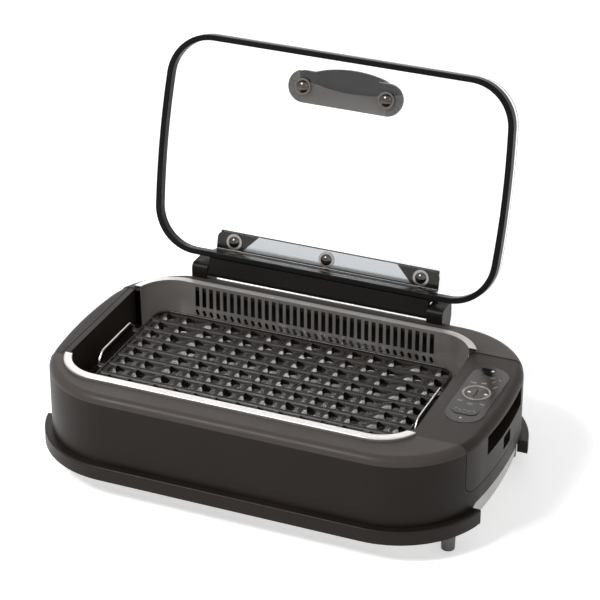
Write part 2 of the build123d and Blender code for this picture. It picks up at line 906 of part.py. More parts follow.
# Control panel overlay with its openings, and what is seated in them
panel_face = module_top - panel_sink + panel_thickness
with BuildPart() as control_panel:
    with BuildSketch(level(module_top - panel_sink)):
        with Locations((panel_x, panel_y)):
            SlotOverall(panel_length, panel_width, rotation=90)
        with Locations((dial_x, dial_y)):
            Circle(dial_radius + button_gap, mode=Mode.SUBTRACT)
        with Locations((power_x, power_y)):
            SlotOverall(power_length + 2 * button_gap, power_width + 2 * button_gap, mode=Mode.SUBTRACT)
        with Locations((display_x, display_y)):
            Rectangle(
                display_size + 2 * display_gap, display_size + 2 * display_gap, mode=Mode.SUBTRACT
            )
        with Locations((power_x, lamp_y)):
            Circle(lamp_radius + hinge_pin_gap, mode=Mode.SUBTRACT)
    extrude(amount=panel_thickness)
control_panel.part.label = "control_panel"
export_step(control_panel.part, "parts/control_panel.step")

with BuildPart() as temperature_ring:
    with BuildSketch(level(panel_face)):
        with Locations((dial_x, dial_y)):
            Circle(ring_outer)
            Circle(dial_radius + button_gap, mode=Mode.SUBTRACT)
    extrude(amount=ring_height)
    fillet(temperature_ring.faces().sort_by(Axis.Z)[-1].edges(), ring_height / 2)
temperature_ring.part.label = "temperature_ring"
export_step(temperature_ring.part, "parts/temperature_ring.step")

with BuildPart() as display_window:
    with BuildSketch(level(module_top - panel_sink)):
        with Locations((display_x, display_y)):
            Rectangle(display_size, display_size)
    extrude(amount=panel_thickness)
display_window.part.label = "display_window"
export_step(display_window.part, "parts/display_window.step")

with BuildPart() as panel_lamp:
    with BuildSketch(level(board_top)):
        with Locations((power_x, lamp_y)):
            Circle(lamp_radius)
    extrude(amount=panel_face - board_top)
panel_lamp.part.label = "panel_lamp"
export_step(panel_lamp.part, "parts/panel_lamp.step")

# Buttons: a cap that shows, and a wider collar that keeps it from falling out
collar_top = module_top - trim_wall - seat_gap
button_bottom = panel_face - button_depth
for button_name, sx in (("temp_down_button", -1), ("temp_up_button", 1)):
    with BuildPart() as temp_button:
        for radius, top in (
            (dial_radius, panel_face + button_rise),
            (dial_radius + button_gap + collar_width, collar_top),
        ):
            with BuildSketch(level(button_bottom)):
                with Locations((dial_x, dial_y)):
                    Circle(radius)
                with Locations((dial_x + sx * (dial_radius + button_gap), dial_y)):
                    Rectangle(2 * dial_radius, 4 * dial_radius, mode=Mode.INTERSECT)
            extrude(amount=top - button_bottom)
        fillet(temp_button.faces().sort_by(Axis.Z)[-1].edges(), button_round)
    temp_button.part.label = button_name
    export_step(temp_button.part, f"parts/{button_name}.step")

with BuildPart() as power_button:
    for extra, top in ((0, panel_face + button_rise), (button_gap + collar_width, collar_top)):
        with BuildSketch(level(button_bottom)):
            with Locations((power_x, power_y)):
                SlotOverall(power_length + 2 * extra, power_width + 2 * extra)
        extrude(amount=top - button_bottom)
    fillet(power_button.faces().sort_by(Axis.Z)[-1].edges(), button_round)
power_button.part.label = "power_button"
export_step(power_button.part, "parts/power_button.step")

# Control board with its three switches, the display behind the window and the screws
with BuildPart() as control_board:
    with BuildSketch(level(board_top)):
        with Locations((board_x, panel_y)):
            Rectangle(board_width, board_length)
    extrude(amount=-board_thickness)
    with BuildSketch(level(board_top)):
        with Locations((dial_x - dial_radius / 2, dial_y), (dial_x + dial_radius / 2, dial_y)):
            Rectangle(switch_size, switch_size)
        with Locations((power_x, power_y)):
            Rectangle(switch_size, switch_size)
    extrude(amount=switch_height)
    with BuildSketch(level(board_top)):
        with Locations(post_places):
            Circle(board_screw_radius + hinge_pin_gap)
    extrude(amount=-board_thickness, mode=Mode.SUBTRACT)
control_board.part.label = "control_board"
export_step(control_board.part, "parts/control_board.step")

with BuildPart() as display_module:
    with BuildSketch(level(board_top)):
        with Locations((display_x, display_y)):
            Rectangle(module_screen, module_screen)
    extrude(amount=board_drop - trim_sink - panel_sink - seat_gap)
display_module.part.label = "display_module"
export_step(display_module.part, "parts/display_module.step")

with BuildPart() as board_screws:
    with BuildSketch(level(board_top - board_thickness)):
        with Locations(post_places):
            Circle(board_screw_head_radius)
    extrude(amount=-board_screw_head)
    with BuildSketch(level(board_top - board_thickness)):
        with Locations(post_places):
            Circle(board_screw_radius)
    extrude(amount=board_thickness + board_screw_reach)
board_screws.part.label = "board_screws"
export_step(board_screws.part, "parts/board_screws.step")

# Power inlet: a cup behind the end wall with three contact pins
inlet_mouth = body_width / 2 - trim_wall - inlet_set_back
inlet_bottom = inlet_mouth - inlet_reach
with BuildPart() as inlet_socket:
    with BuildSketch(side(inlet_bottom)):
        with Locations((inlet_y, inlet_z)):
            RectangleRounded(
                inlet_length + 2 * inlet_wall,
                inlet_height + 2 * inlet_wall,
                inlet_corner + inlet_wall,
            )
    extrude(amount=inlet_reach)
    with BuildSketch(side(inlet_bottom + inlet_wall)):
        with Locations((inlet_y, inlet_z)):
            RectangleRounded(inlet_length, inlet_height, inlet_corner)
    extrude(amount=inlet_reach, mode=Mode.SUBTRACT)
    with BuildSketch(side(inlet_bottom)):
        with Locations((inlet_y, inlet_z)):
            with GridLocations(inlet_pin_pitch, 0, inlet_pin_count, 1):
                Circle(inlet_pin_radius)
    extrude(amount=inlet_wall, mode=Mode.SUBTRACT)
inlet_socket.part.label = "inlet_socket"
export_step(inlet_socket.part, "parts/inlet_socket.step")

with BuildPart() as inlet_pins:
    with BuildSketch(side(inlet_bottom - inlet_wall)):
        with Locations((inlet_y, inlet_z)):
            with GridLocations(inlet_pin_pitch, 0, inlet_pin_count, 1):
                Circle(inlet_pin_radius - hinge_pin_gap)
    extrude(amount=2 * inlet_wall + inlet_pin_length)
inlet_pins.part.label = "inlet_pins"
export_step(inlet_pins.part, "parts/inlet_pins.step")

# Power board on four spacers over the pan
spacer_places = [
    (board2_x + sx * (board2_width / 2 - spacer_inset), board2_y + sy * (board2_length / 2 - spacer_inset))
    for sx in (-1, 1)
    for sy in (-1, 1)
]
board2_bottom = pan_floor + board2_rise
with BuildPart() as power_board:
    with BuildSketch(level(board2_bottom)):
        with Locations((board2_x, board2_y)):
            Rectangle(board2_width, board2_length)
    extrude(amount=board_thickness)
    with BuildSketch(level(board2_bottom + board_thickness)):
        with Locations((board2_x, board2_y + coil_y)):
            Rectangle(coil_size, coil_size)
    extrude(amount=coil_height)
    with BuildSketch(level(board2_bottom + board_thickness)):
        with Locations((board2_x, board2_y - coil_y)):
            with GridLocations(can_pitch, 0, 2, 1):
                Circle(can_radius)
    extrude(amount=coil_height)
    with BuildSketch(level(board2_bottom)):
        with Locations(spacer_places):
            Circle(screw_radius)
    extrude(amount=board_thickness, mode=Mode.SUBTRACT)
power_board.part.label = "power_board"
export_step(power_board.part, "parts/power_board.step")

with BuildPart() as board_spacers:
    with BuildSketch(level(pan_floor)):
        with Locations(spacer_places):
            Circle(screw_head_radius)
    extrude(amount=board2_rise)
    with BuildSketch(level(board2_bottom)):
        with Locations(spacer_places):
            Circle(screw_radius - hinge_pin_gap)
    extrude(amount=2 * board_thickness)
board_spacers.part.label = "board_spacers"
export_step(board_spacers.part, "parts/board_spacers.step")

# Grill plate: rim, long ribs, rows of studs with drain slots, legs and lugs
leg_places = [
    (plate_x + sx * (plate_width / 2 - leg_inset_x), sy * (row_count - 2) / 2 * rib_pitch)
    for sx in (-1, 1)
    for sy in (-1, 1)
]
lug_places = [
    (plate_x + sx * (plate_width + lug_reach) / 2, sy * loop_half) for sx in (-1, 1) for sy in (-1, 1)
]
wire_places = [
    (plate_x + sx * (plate_width / 2 + loop_offset), sy * loop_half) for sx in (-1, 1) for sy in (-1, 1)
]
with BuildPart() as grill_plate:
    with BuildSketch(level(plate_bottom)):
        with Locations((plate_x, 0)):
            RectangleRounded(plate_width, plate_depth, plate_corner)
    extrude(amount=plate_rim_height)
    with BuildSketch(level(plate_top)):
        with Locations((plate_x, 0)):
            RectangleRounded(
                plate_width - 2 * plate_rim, plate_depth - 2 * plate_rim, plate_corner - plate_rim
            )
    extrude(amount=plate_rim_height, mode=Mode.SUBTRACT)
    with BuildSketch(level(plate_top)):
        with Locations((plate_x, 0)):
            with GridLocations(0, rib_pitch, 1, row_count - 1):
                Rectangle(plate_width - plate_rim, rib_width)
    extrude(amount=rib_height, taper=rib_taper)
    for row in range(row_count):
        row_y = (row - (row_count - 1) / 2) * rib_pitch
        with BuildSketch(level(plate_top)):
            with Locations((plate_x, row_y)):
                with GridLocations(hood_pitch, 0, hood_count, 1):
                    Rectangle(hood_length, hood_width)
                with Locations(hood_end_places):
                    Rectangle(hood_length, hood_width)
        extrude(amount=hood_height, taper=hood_taper)
        with BuildSketch(level(plate_bottom)):
            with Locations((plate_x + drain_shift, row_y)):
                with GridLocations(hood_pitch, 0, hood_count, 1):
                    SlotOverall(drain_length, drain_width, rotation=90)
                with Locations(hood_end_places):
                    SlotOverall(drain_length, drain_width, rotation=90)
        extrude(amount=plate_thickness + hood_height, mode=Mode.SUBTRACT)
    with BuildSketch(level(tub_floor)):
        with Locations(leg_places):
            Circle(leg_radius)
    extrude(amount=plate_bottom - tub_floor)
    with BuildSketch(level(plate_bottom)):
        with Locations(lug_places):
            Rectangle(lug_reach, lug_width)
    extrude(amount=plate_rim_height - 2 * seat_gap)
    with BuildSketch(level(plate_bottom)):
        with Locations(wire_places):
            Circle(loop_radius + hinge_pin_gap)
    extrude(amount=plate_rim_height, mode=Mode.SUBTRACT)
grill_plate.part.label = "grill_plate"
export_step(grill_plate.part, "parts/grill_plate.step")

# Wire loops for lifting the plate
for loop_name, sx in (("plate_handle_left", -1), ("plate_handle_right", 1)):
    loop_x = plate_x + sx * (plate_width / 2 + loop_offset)
    with BuildPart() as wire_loop:
        with BuildLine(side(loop_x)):
            FilletPolyline(
                (-loop_half, plate_bottom),
                (-loop_half, housing_top - loop_shoulder),
                (-loop_top_half, housing_top - loop_drop),
                (loop_top_half, housing_top - loop_drop),
                (loop_half, housing_top - loop_shoulder),
                (loop_half, plate_bottom),
                radius=loop_bend,
            )
        with BuildSketch(level(plate_bottom)):
            with Locations((loop_x, -loop_half)):
                Circle(loop_radius)
        sweep()
    wire_loop.part.label = loop_name
    export_step(wire_loop.part, f"parts/{loop_name}.step")

# Drip tray with a folded-out edge
with BuildPart() as drip_tray:
    with BuildSketch(level(tub_floor)):
        with Locations((plate_x, 0)):
            RectangleRounded(tray_width, tray_depth, tray_corner)
    extrude(amount=tray_height)
    with BuildSketch(level(tray_top - tray_metal)):
        with Locations((plate_x, 0)):
            RectangleRounded(
                tray_width + 2 * tray_flange, tray_depth + 2 * tray_flange, tray_corner + tray_flange
            )
    extrude(amount=tray_metal)
    with BuildSketch(level(tub_floor + tray_metal)):
        with Locations((plate_x, 0)):
            RectangleRounded(
                tray_width - 2 * tray_metal, tray_depth - 2 * tray_metal, tray_corner - tray_metal
            )
    extrude(amount=tray_height, mode=Mode.SUBTRACT)
drip_tray.part.label = "drip_tray"
export_step(drip_tray.part, "parts/drip_tray.step")

# Heating element: one bent tube, its terminal block, contacts, probe and carriers
tube_end = block_left + block_bore - seat_gap
heater_run = [
    (tube_end, -heater_lead_y),
    (heater_right, -heater_lead_y),
    (heater_right, -heater_outer_y),
    (heater_left, -heater_outer_y),
    (heater_left, -heater_inner_y),
    (heater_inner_right, -heater_inner_y),
    (heater_inner_right, heater_inner_y),
    (heater_left, heater_inner_y),
    (heater_left, heater_outer_y),
    (heater_right, heater_outer_y),
    (heater_right, heater_lead_y),
    (tube_end, heater_lead_y),
]
with BuildPart() as heating_element:
    with BuildLine(level(heater_z)):
        FilletPolyline(*heater_run, radius=heater_bend)
    with BuildSketch(side(tube_end)):
        with Locations((-heater_lead_y, heater_z)):
            Circle(heater_radius)
    sweep()
heating_element.part.label = "heating_element"
export_step(heating_element.part, "parts/heating_element.step")

block_middle = (block_left + block_right) / 2
block_bottom = housing_top - block_bottom_drop
contact_places = [(block_middle, step * contact_pitch) for step in (-1, 0, 1)]

with BuildPart() as heater_block:
    with BuildSketch(level(block_bottom)):
        with Locations((block_middle, 0)):
            RectangleRounded(block_right - block_left, 2 * block_half, contact_radius)
    extrude(amount=block_bottom_drop - block_top_drop)
    with BuildSketch(side(block_left)):
        with Locations((-heater_lead_y, heater_z), (heater_lead_y, heater_z)):
            Circle(heater_radius + hinge_pin_gap)
        with Locations((0, heater_z)):
            Circle(probe_radius + hinge_pin_gap)
    extrude(amount=block_bore, mode=Mode.SUBTRACT)
    with BuildSketch(level(block_bottom)):
        with Locations(contact_places):
            Circle(contact_radius + hinge_pin_gap)
    extrude(amount=contact_seat, mode=Mode.SUBTRACT)
heater_block.part.label = "heater_block"
export_step(heater_block.part, "parts/heater_block.step")

with BuildPart() as heater_contacts:
    with BuildSketch(level(housing_top - contact_drop)):
        with Locations(contact_places):
            Circle(contact_radius)
    extrude(amount=contact_drop - block_bottom_drop + contact_seat)
heater_contacts.part.label = "heater_contacts"
export_step(heater_contacts.part, "parts/heater_contacts.step")

with BuildPart() as thermostat_probe:
    with BuildSketch(side(block_left + block_bore)):
        with Locations((0, heater_z)):
            Circle(probe_radius)
    extrude(amount=-block_bore - probe_length)
thermostat_probe.part.label = "thermostat_probe"
export_step(thermostat_probe.part, "parts/thermostat_probe.step")

saddle_height = heater_z - heater_radius - seat_gap - tray_top
for support_name, support_x in (
    ("heater_support_left", support_left),
    ("heater_support_right", support_right),
):
    with BuildPart() as heater_support:
        with BuildSketch(level(tray_top)):
            with Locations((support_x, 0)):
                Rectangle(support_width, 2 * support_half)
        extrude(amount=support_thickness)
        with BuildSketch(level(tray_top)):
            for tube_y in (heater_inner_y, heater_outer_y):
                with Locations((support_x, -tube_y), (support_x, tube_y)):
                    Rectangle(support_width, 2 * heater_radius)
        extrude(amount=saddle_height)
    heater_support.part.label = support_name
    export_step(heater_support.part, f"parts/{support_name}.step")

# Socket on the chamber floor that the heater's contacts drop into
with BuildPart() as heater_socket:
    with BuildSketch(level(tub_floor)):
        with Locations((block_middle + socket_shift, 0)):
            RectangleRounded(
                block_right - block_left + 2 * socket_shift, 2 * socket_half, contact_radius
            )
    extrude(amount=housing_top - socket_drop - tub_floor)
    with BuildSketch(level(housing_top - socket_drop)):
        with Locations(contact_places):
            Circle(contact_radius + seat_gap)
    extrude(amount=socket_drop - contact_drop - seat_gap, mode=Mode.SUBTRACT)
heater_socket.part.label = "heater_socket"
export_step(heater_socket.part, "parts/heater_socket.step")

# Air duct behind the chamber and the fan throat under it
with BuildPart() as rear_duct:
    with BuildSketch(level(throat_shelf)):
        with Locations((slot_x, (tub_back + duct_back) / 2)):
            Rectangle(2 * duct_half, duct_back - tub_back)
    extrude(amount=housing_top - duct_top_drop - throat_shelf)
    with BuildSketch(level(throat_shelf + duct_wall)):
        with Locations((slot_x, (tub_back + duct_back) / 2 - duct_wall)):
            Rectangle(2 * duct_half - 2 * duct_wall, duct_back - tub_back)
    extrude(amount=housing_top - duct_top_drop - throat_shelf - 2 * duct_wall, mode=Mode.SUBTRACT)
    with BuildSketch(level(throat_shelf)):
        with Locations((0, (tub_back + throat_back) / 2)):
            Rectangle(2 * throat_half - 2 * duct_wall, throat_back - tub_back - 4 * duct_wall)
    extrude(amount=duct_wall, mode=Mode.SUBTRACT)
rear_duct.part.label = "rear_duct"
export_step(rear_duct.part, "parts/rear_duct.step")

throat_step = tub_back + duct_wall
with BuildPart() as fan_duct:
    with BuildSketch(side(0)):
        with BuildLine():
            Polyline(
                (throat_front, pan_floor),
                (throat_back, pan_floor),
                (throat_back, throat_shelf),
                (throat_step, throat_shelf),
                (throat_step, throat_ceiling),
                (throat_front, throat_ceiling),
                close=True,
            )
        make_face()
    extrude(amount=throat_half, both=True)
    with BuildSketch(side(0)):
        with BuildLine():
            Polyline(
                (throat_front + duct_wall, pan_floor + duct_wall),
                (throat_back - duct_wall, pan_floor + duct_wall),
                (throat_back - duct_wall, throat_shelf),
                (throat_step + duct_wall, throat_shelf),
                (throat_step + duct_wall, throat_ceiling - duct_wall),
                (throat_front + duct_wall, throat_ceiling - duct_wall),
                close=True,
            )
        make_face()
    extrude(amount=throat_half - duct_wall, both=True, mode=Mode.SUBTRACT)
    with BuildSketch(level(pan_floor)):
        with Locations((0, fan_y)):
            Circle(fan_radius + duct_wall + seat_gap)
    extrude(amount=duct_wall, mode=Mode.SUBTRACT)
fan_duct.part.label = "fan_duct"
export_step(fan_duct.part, "parts/fan_duct.step")

# Fan: a ring with struts that carry the motor, and the bladed rotor over it
with BuildPart() as fan_frame:
    with BuildSketch(level(pan_floor)):
        with Locations((0, fan_y)):
            Circle(fan_radius + duct_wall)
            Circle(fan_radius, mode=Mode.SUBTRACT)
    extrude(amount=hub_top - pan_floor)
    with BuildSketch(level(pan_floor)):
        with Locations((0, fan_y)):
            Circle(motor_radius)
            with PolarLocations(fan_radius / 2 + duct_wall / 4, strut_count):
                Rectangle(fan_radius + duct_wall / 2, strut_width)
    extrude(amount=motor_bottom - pan_floor)
fan_frame.part.label = "fan_frame"
export_step(fan_frame.part, "parts/fan_frame.step")

with BuildPart() as fan_motor:
    with BuildSketch(level(motor_bottom)):
        with Locations((0, fan_y)):
            Circle(motor_radius)
    extrude(amount=motor_top - motor_bottom)
    with BuildSketch(level(motor_top)):
        with Locations((0, fan_y)):
            Circle(shaft_radius)
    extrude(amount=hub_top - motor_top)
fan_motor.part.label = "fan_motor"
export_step(fan_motor.part, "parts/fan_motor.step")

blade_inner = hub_radius - hub_wall / 2
blade_outer = fan_radius - fan_tip_gap
with BuildPart() as fan_impeller:
    with BuildSketch(level(hub_bottom)):
        with Locations((0, fan_y)):
            Circle(hub_radius)
    extrude(amount=hub_top - hub_bottom)
    with Locations(body_frame * Location((0, fan_y, (hub_bottom + hub_top) / 2))):
        with PolarLocations((blade_inner + blade_outer) / 2, blade_count):
            Box(
                blade_outer - blade_inner,
                blade_height,
                blade_thickness,
                rotation=(blade_pitch_angle, 0, 0),
            )
    with BuildSketch(level(hub_bottom)):
        with Locations((0, fan_y)):
            Circle(hub_radius - hub_wall)
    extrude(amount=hub_top - hub_bottom - hub_wall, mode=Mode.SUBTRACT)
    with BuildSketch(level(hub_bottom)):
        with Locations((0, fan_y)):
            Circle(shaft_radius + shaft_gap)
    extrude(amount=hub_top, mode=Mode.SUBTRACT)
fan_impeller.part.label = "fan_impeller"
export_step(fan_impeller.part, "parts/fan_impeller.step")

# Lid glass: a shallow dish with rounded edges and holes for its fasteners
lid_up = Axis((0, 0, 0), (0, sin(swing_angle), cos(swing_angle)))
strip_places = [(step * strip_screw_pitch, strip_screw_y) for step in (-1, 0, 1)]
handle_places = [(step * handle_screw_pitch, handle_y) for step in (-1, 1)]
with BuildPart() as lid_glass:
    with BuildSketch(lid_level(rim_floor)):
        add(lid_plan(rim_wall))
    extrude(amount=glass_top - rim_floor)
    fillet(lid_glass.faces().sort_by(lid_up)[-1].edges(), dish_outer_round)
    with BuildPart(mode=Mode.PRIVATE) as dish_space:
        with BuildSketch(lid_level(rim_floor)):
            add(lid_plan(rim_wall + glass))
        extrude(amount=dish_depth - rim_floor)
        fillet(dish_space.faces().sort_by(lid_up)[-1].edges(), dish_round)
    add(dish_space.part, mode=Mode.SUBTRACT)
    with BuildSketch(lid_level(dish_depth)):
        with Locations(strip_places + handle_places):
            Circle(bush_radius + bush_gap)
    extrude(amount=glass, mode=Mode.SUBTRACT)
lid_glass.part.label = "lid_glass"
export_step(lid_glass.part, "parts/lid_glass.step")

# Lid rim: the channel that grips the edge of the glass
with BuildPart() as lid_rim:
    with BuildSketch(lid_level(0)):
        add(lid_plan(0))
        add(lid_plan(rim_width), mode=Mode.SUBTRACT)
    extrude(amount=rim_height)
    fillet(lid_rim.faces().sort_by(lid_up)[0].edges(), rim_round)
    with BuildSketch(lid_level(rim_floor)):
        add(lid_plan(rim_wall))
        add(lid_plan(rim_wall + glass), mode=Mode.SUBTRACT)
    extrude(amount=rim_height, mode=Mode.SUBTRACT)
lid_rim.part.label = "lid_rim"
export_step(lid_rim.part, "parts/lid_rim.step")

# Hinge bar: runs over the glass, down behind the rim and ends in the knuckle
axis_h = hinge_z - rim_z
bar_front = lid_depth / 2 - bar_leg
bar_inner = lid_depth / 2 + seat_gap
bar_outer = bar_inner + bar_thickness
bar_top = glass_top + bar_leg_thickness
with BuildPart() as hinge_bar:
    with BuildSketch(lid_side(0)):
        with BuildLine():
            Polyline(
                (bar_front, glass_top),
                (bar_inner, glass_top),
                (bar_inner, axis_h - knuckle_radius + seat_gap),
                (hinge_y, axis_h - knuckle_radius),
            )
            ThreePointArc(
                (hinge_y, axis_h - knuckle_radius),
                (hinge_y + knuckle_radius, axis_h),
                (hinge_y, axis_h + knuckle_radius),
            )
            Polyline(
                (hinge_y, axis_h + knuckle_radius),
                (bar_outer, axis_h + knuckle_radius),
                (bar_outer, bar_top - bar_chamfer),
                (bar_outer - bar_chamfer, bar_top),
                (bar_front, bar_top),
                (bar_front, glass_top),
            )
        make_face()
    extrude(amount=bar_half, both=True)
    for sx in (-1, 1):
        with BuildSketch(lid_side(sx * bar_half)):
            with Locations((hinge_y, axis_h)):
                Circle(hinge_pin_radius + bar_pin_gap)
        extrude(amount=-sx * hinge_pin_length / 2, mode=Mode.SUBTRACT)
    with BuildSketch(lid_level(glass_top)):
        with Locations(strip_places):
            Circle(lid_screw_radius + hinge_pin_gap)
    extrude(amount=bar_leg_thickness - seat_gap, mode=Mode.SUBTRACT)
hinge_bar.part.label = "hinge_bar"
export_step(hinge_bar.part, "parts/hinge_bar.step")

# Hinge pins and the towers they turn in
for sx, side_name in ((-1, "left"), (1, "right")):
    with BuildPart() as hinge_pin:
        with BuildSketch(lid_side(sx * (bar_half - hinge_pin_length / 2 + hinge_pin_gap))):
            with Locations((hinge_y, axis_h)):
                Circle(hinge_pin_radius)
        extrude(amount=sx * hinge_pin_length)
    hinge_pin.part.label = f"hinge_pin_{side_name}"
    export_step(hinge_pin.part, f"parts/hinge_pin_{side_name}.step")

    shoulder_y = body_depth / 2 - shoulder
    arch = shoulder + tower_gap
    tower_foot = body_depth / 2 + tower_gap
    with BuildPart() as hinge_tower:
        with BuildSketch(side(lid_x + sx * tower_inner)) as tower_profile:
            with BuildLine():
                Polyline(
                    (shoulder_y, housing_top + tower_gap),
                    (tower_front, housing_top + tower_gap),
                    (tower_front, tower_top),
                    (tower_back, tower_top),
                    (tower_back, housing_top - tower_heel),
                    (tower_foot + tower_skirt_depth, housing_top - tower_skirt),
                    (tower_foot, housing_top - tower_skirt),
                    (tower_foot, housing_top - shoulder),
                )
                ThreePointArc(
                    (tower_foot, housing_top - shoulder),
                    (
                        shoulder_y + arch / sqrt(2),
                        housing_top - shoulder + arch / sqrt(2),
                    ),
                    (shoulder_y, housing_top + tower_gap),
                )
            make_face()
            fillet(tower_profile.vertices().group_by(Axis.Y)[-1], tower_round)
        extrude(amount=sx * (tower_outer - tower_inner))
        with BuildSketch(side(lid_x + sx * tower_inner)):
            with Locations((hinge_y, hinge_z)):
                Circle(hinge_pin_radius + hinge_pin_gap)
        extrude(amount=sx * (hinge_pin_length / 2 + tower_gap), mode=Mode.SUBTRACT)
        screw_place = (lid_x + sx * (tower_inner + tower_outer) / 2, housing_top - tower_screw_drop)
        with BuildSketch(facing(tower_foot)):
            with Locations(screw_place):
                Circle(screw_radius + hinge_pin_gap)
        extrude(amount=-tower_back, mode=Mode.SUBTRACT)
        with BuildSketch(facing(tower_foot + tower_skirt_depth)):
            with Locations(screw_place):
                Circle(screw_head_radius + seat_gap)
        extrude(amount=-tower_back, mode=Mode.SUBTRACT)
    hinge_tower.part.label = f"hinge_tower_{side_name}"
    export_step(hinge_tower.part, f"parts/hinge_tower_{side_name}.step")

screw_seat = tower_foot + tower_skirt_depth
with BuildPart() as tower_screws:
    with BuildSketch(facing(screw_seat)):
        with Locations(tower_screw_places):
            Circle(screw_head_radius)
    extrude(amount=-screw_head)
    with BuildSketch(facing(screw_seat)):
        with Locations(tower_screw_places):
            Circle(screw_radius)
    extrude(amount=tower_skirt_depth + tower_screw_reach)
tower_screws.part.label = "tower_screws"
export_step(tower_screws.part, "parts/tower_screws.step")

# Hinge strip: a bright angle inside the dish that carries the three fixings
strip_outer = lid_depth / 2 - rim_wall - glass - bush_gap
strip_face = dish_depth - strip_steel
with BuildPart() as hinge_strip:
    with BuildSketch(lid_side(0)) as strip_profile:
        with BuildLine():
            Polyline(
                (strip_screw_y - strip_reach, strip_face),
                (strip_outer - strip_steel, strip_face),
                (strip_outer - strip_steel, dish_depth - strip_flange),
                (strip_outer, dish_depth - strip_flange),
                (strip_outer, dish_depth),
                (strip_screw_y - strip_reach, dish_depth),
                close=True,
            )
        make_face()
        bend = strip_profile.vertices().filter_by_position(
            Axis.X, strip_outer - 2 * strip_steel, strip_outer
        )
        fillet(bend.filter_by_position(Axis.Y, dish_depth, glass_top), strip_bend)
        fillet(
            strip_profile.vertices().filter_by_position(Axis.Y, strip_face, strip_face).sort_by(Axis.X)[-1],
            strip_bend - strip_steel,
        )
    extrude(amount=strip_half, both=True)
    with BuildSketch(lid_level(strip_face)) as strip_plan:
        with Locations((0, strip_screw_y)):
            Rectangle(2 * strip_half, 2 * strip_reach)
        fillet(strip_plan.vertices().group_by(Axis.Y)[0], strip_corner)
        with Locations((0, strip_outer)):
            Rectangle(2 * strip_half, 2 * strip_reach)
        with Locations(strip_places):
            Circle(lid_screw_radius + hinge_pin_gap, mode=Mode.SUBTRACT)
    extrude(amount=strip_flange, both=True, mode=Mode.INTERSECT)
hinge_strip.part.label = "hinge_strip"
export_step(hinge_strip.part, "parts/hinge_strip.step")

# Fixings of the hinge strip: bushes in the glass, washers and domed screws inside
screw_hole = lid_screw_radius + hinge_pin_gap
with BuildPart() as bracket_bushes:
    with BuildSketch(lid_level(dish_depth)):
        with Locations(strip_places):
            Circle(bush_radius)
            Circle(screw_hole, mode=Mode.SUBTRACT)
    extrude(amount=glass)
bracket_bushes.part.label = "bracket_bushes"
export_step(bracket_bushes.part, "parts/bracket_bushes.step")

with BuildPart() as bracket_washers:
    with BuildSketch(lid_level(strip_face - washer_thickness)):
        with Locations(strip_places):
            Circle(washer_radius)
            Circle(screw_hole, mode=Mode.SUBTRACT)
    extrude(amount=washer_thickness)
bracket_washers.part.label = "bracket_washers"
export_step(bracket_washers.part, "parts/bracket_washers.step")

bracket_head = strip_face - washer_thickness
bracket_shank = bar_top - 2 * seat_gap - bracket_head
with BuildPart() as bracket_screws:
    for place_x, place_y in strip_places:
        turned = lid_frame * Location((place_x, place_y, bracket_head), (180, 0, 0))
        add(domed_screw(dome_radius, dome_height, lid_screw_radius, bracket_shank).moved(turned))
bracket_screws.part.label = "bracket_screws"
export_step(bracket_screws.part, "parts/bracket_screws.step")

# Handle: gasket on the outer face of the glass, the bowed grip and its fixings
gasket_top = glass_top + gasket_thickness
with BuildPart() as handle_gasket:
    with BuildSketch(lid_level(glass_top)):
        with Locations((0, handle_y)):
            SlotOverall(gasket_length, gasket_width)
        # Cut away towards the front of the lid, along a shallow bow
        with BuildLine():
            cut_y = handle_y - gasket_cut_side
            Polyline(
                (gasket_cut_left, cut_y),
                (gasket_cut_left, handle_y - gasket_width),
                (gasket_length, handle_y - gasket_width),
                (gasket_length, cut_y),
                (gasket_length / 2, cut_y),
            )
            ThreePointArc(
                (gasket_length / 2, cut_y), (0, handle_y + gasket_cut_sag), (gasket_cut_left, cut_y)
            )
        make_face(mode=Mode.SUBTRACT)
        with Locations(handle_places):
            Circle(screw_hole, mode=Mode.SUBTRACT)
    extrude(amount=gasket_thickness)
handle_gasket.part.label = "handle_gasket"
export_step(handle_gasket.part, "parts/handle_gasket.step")

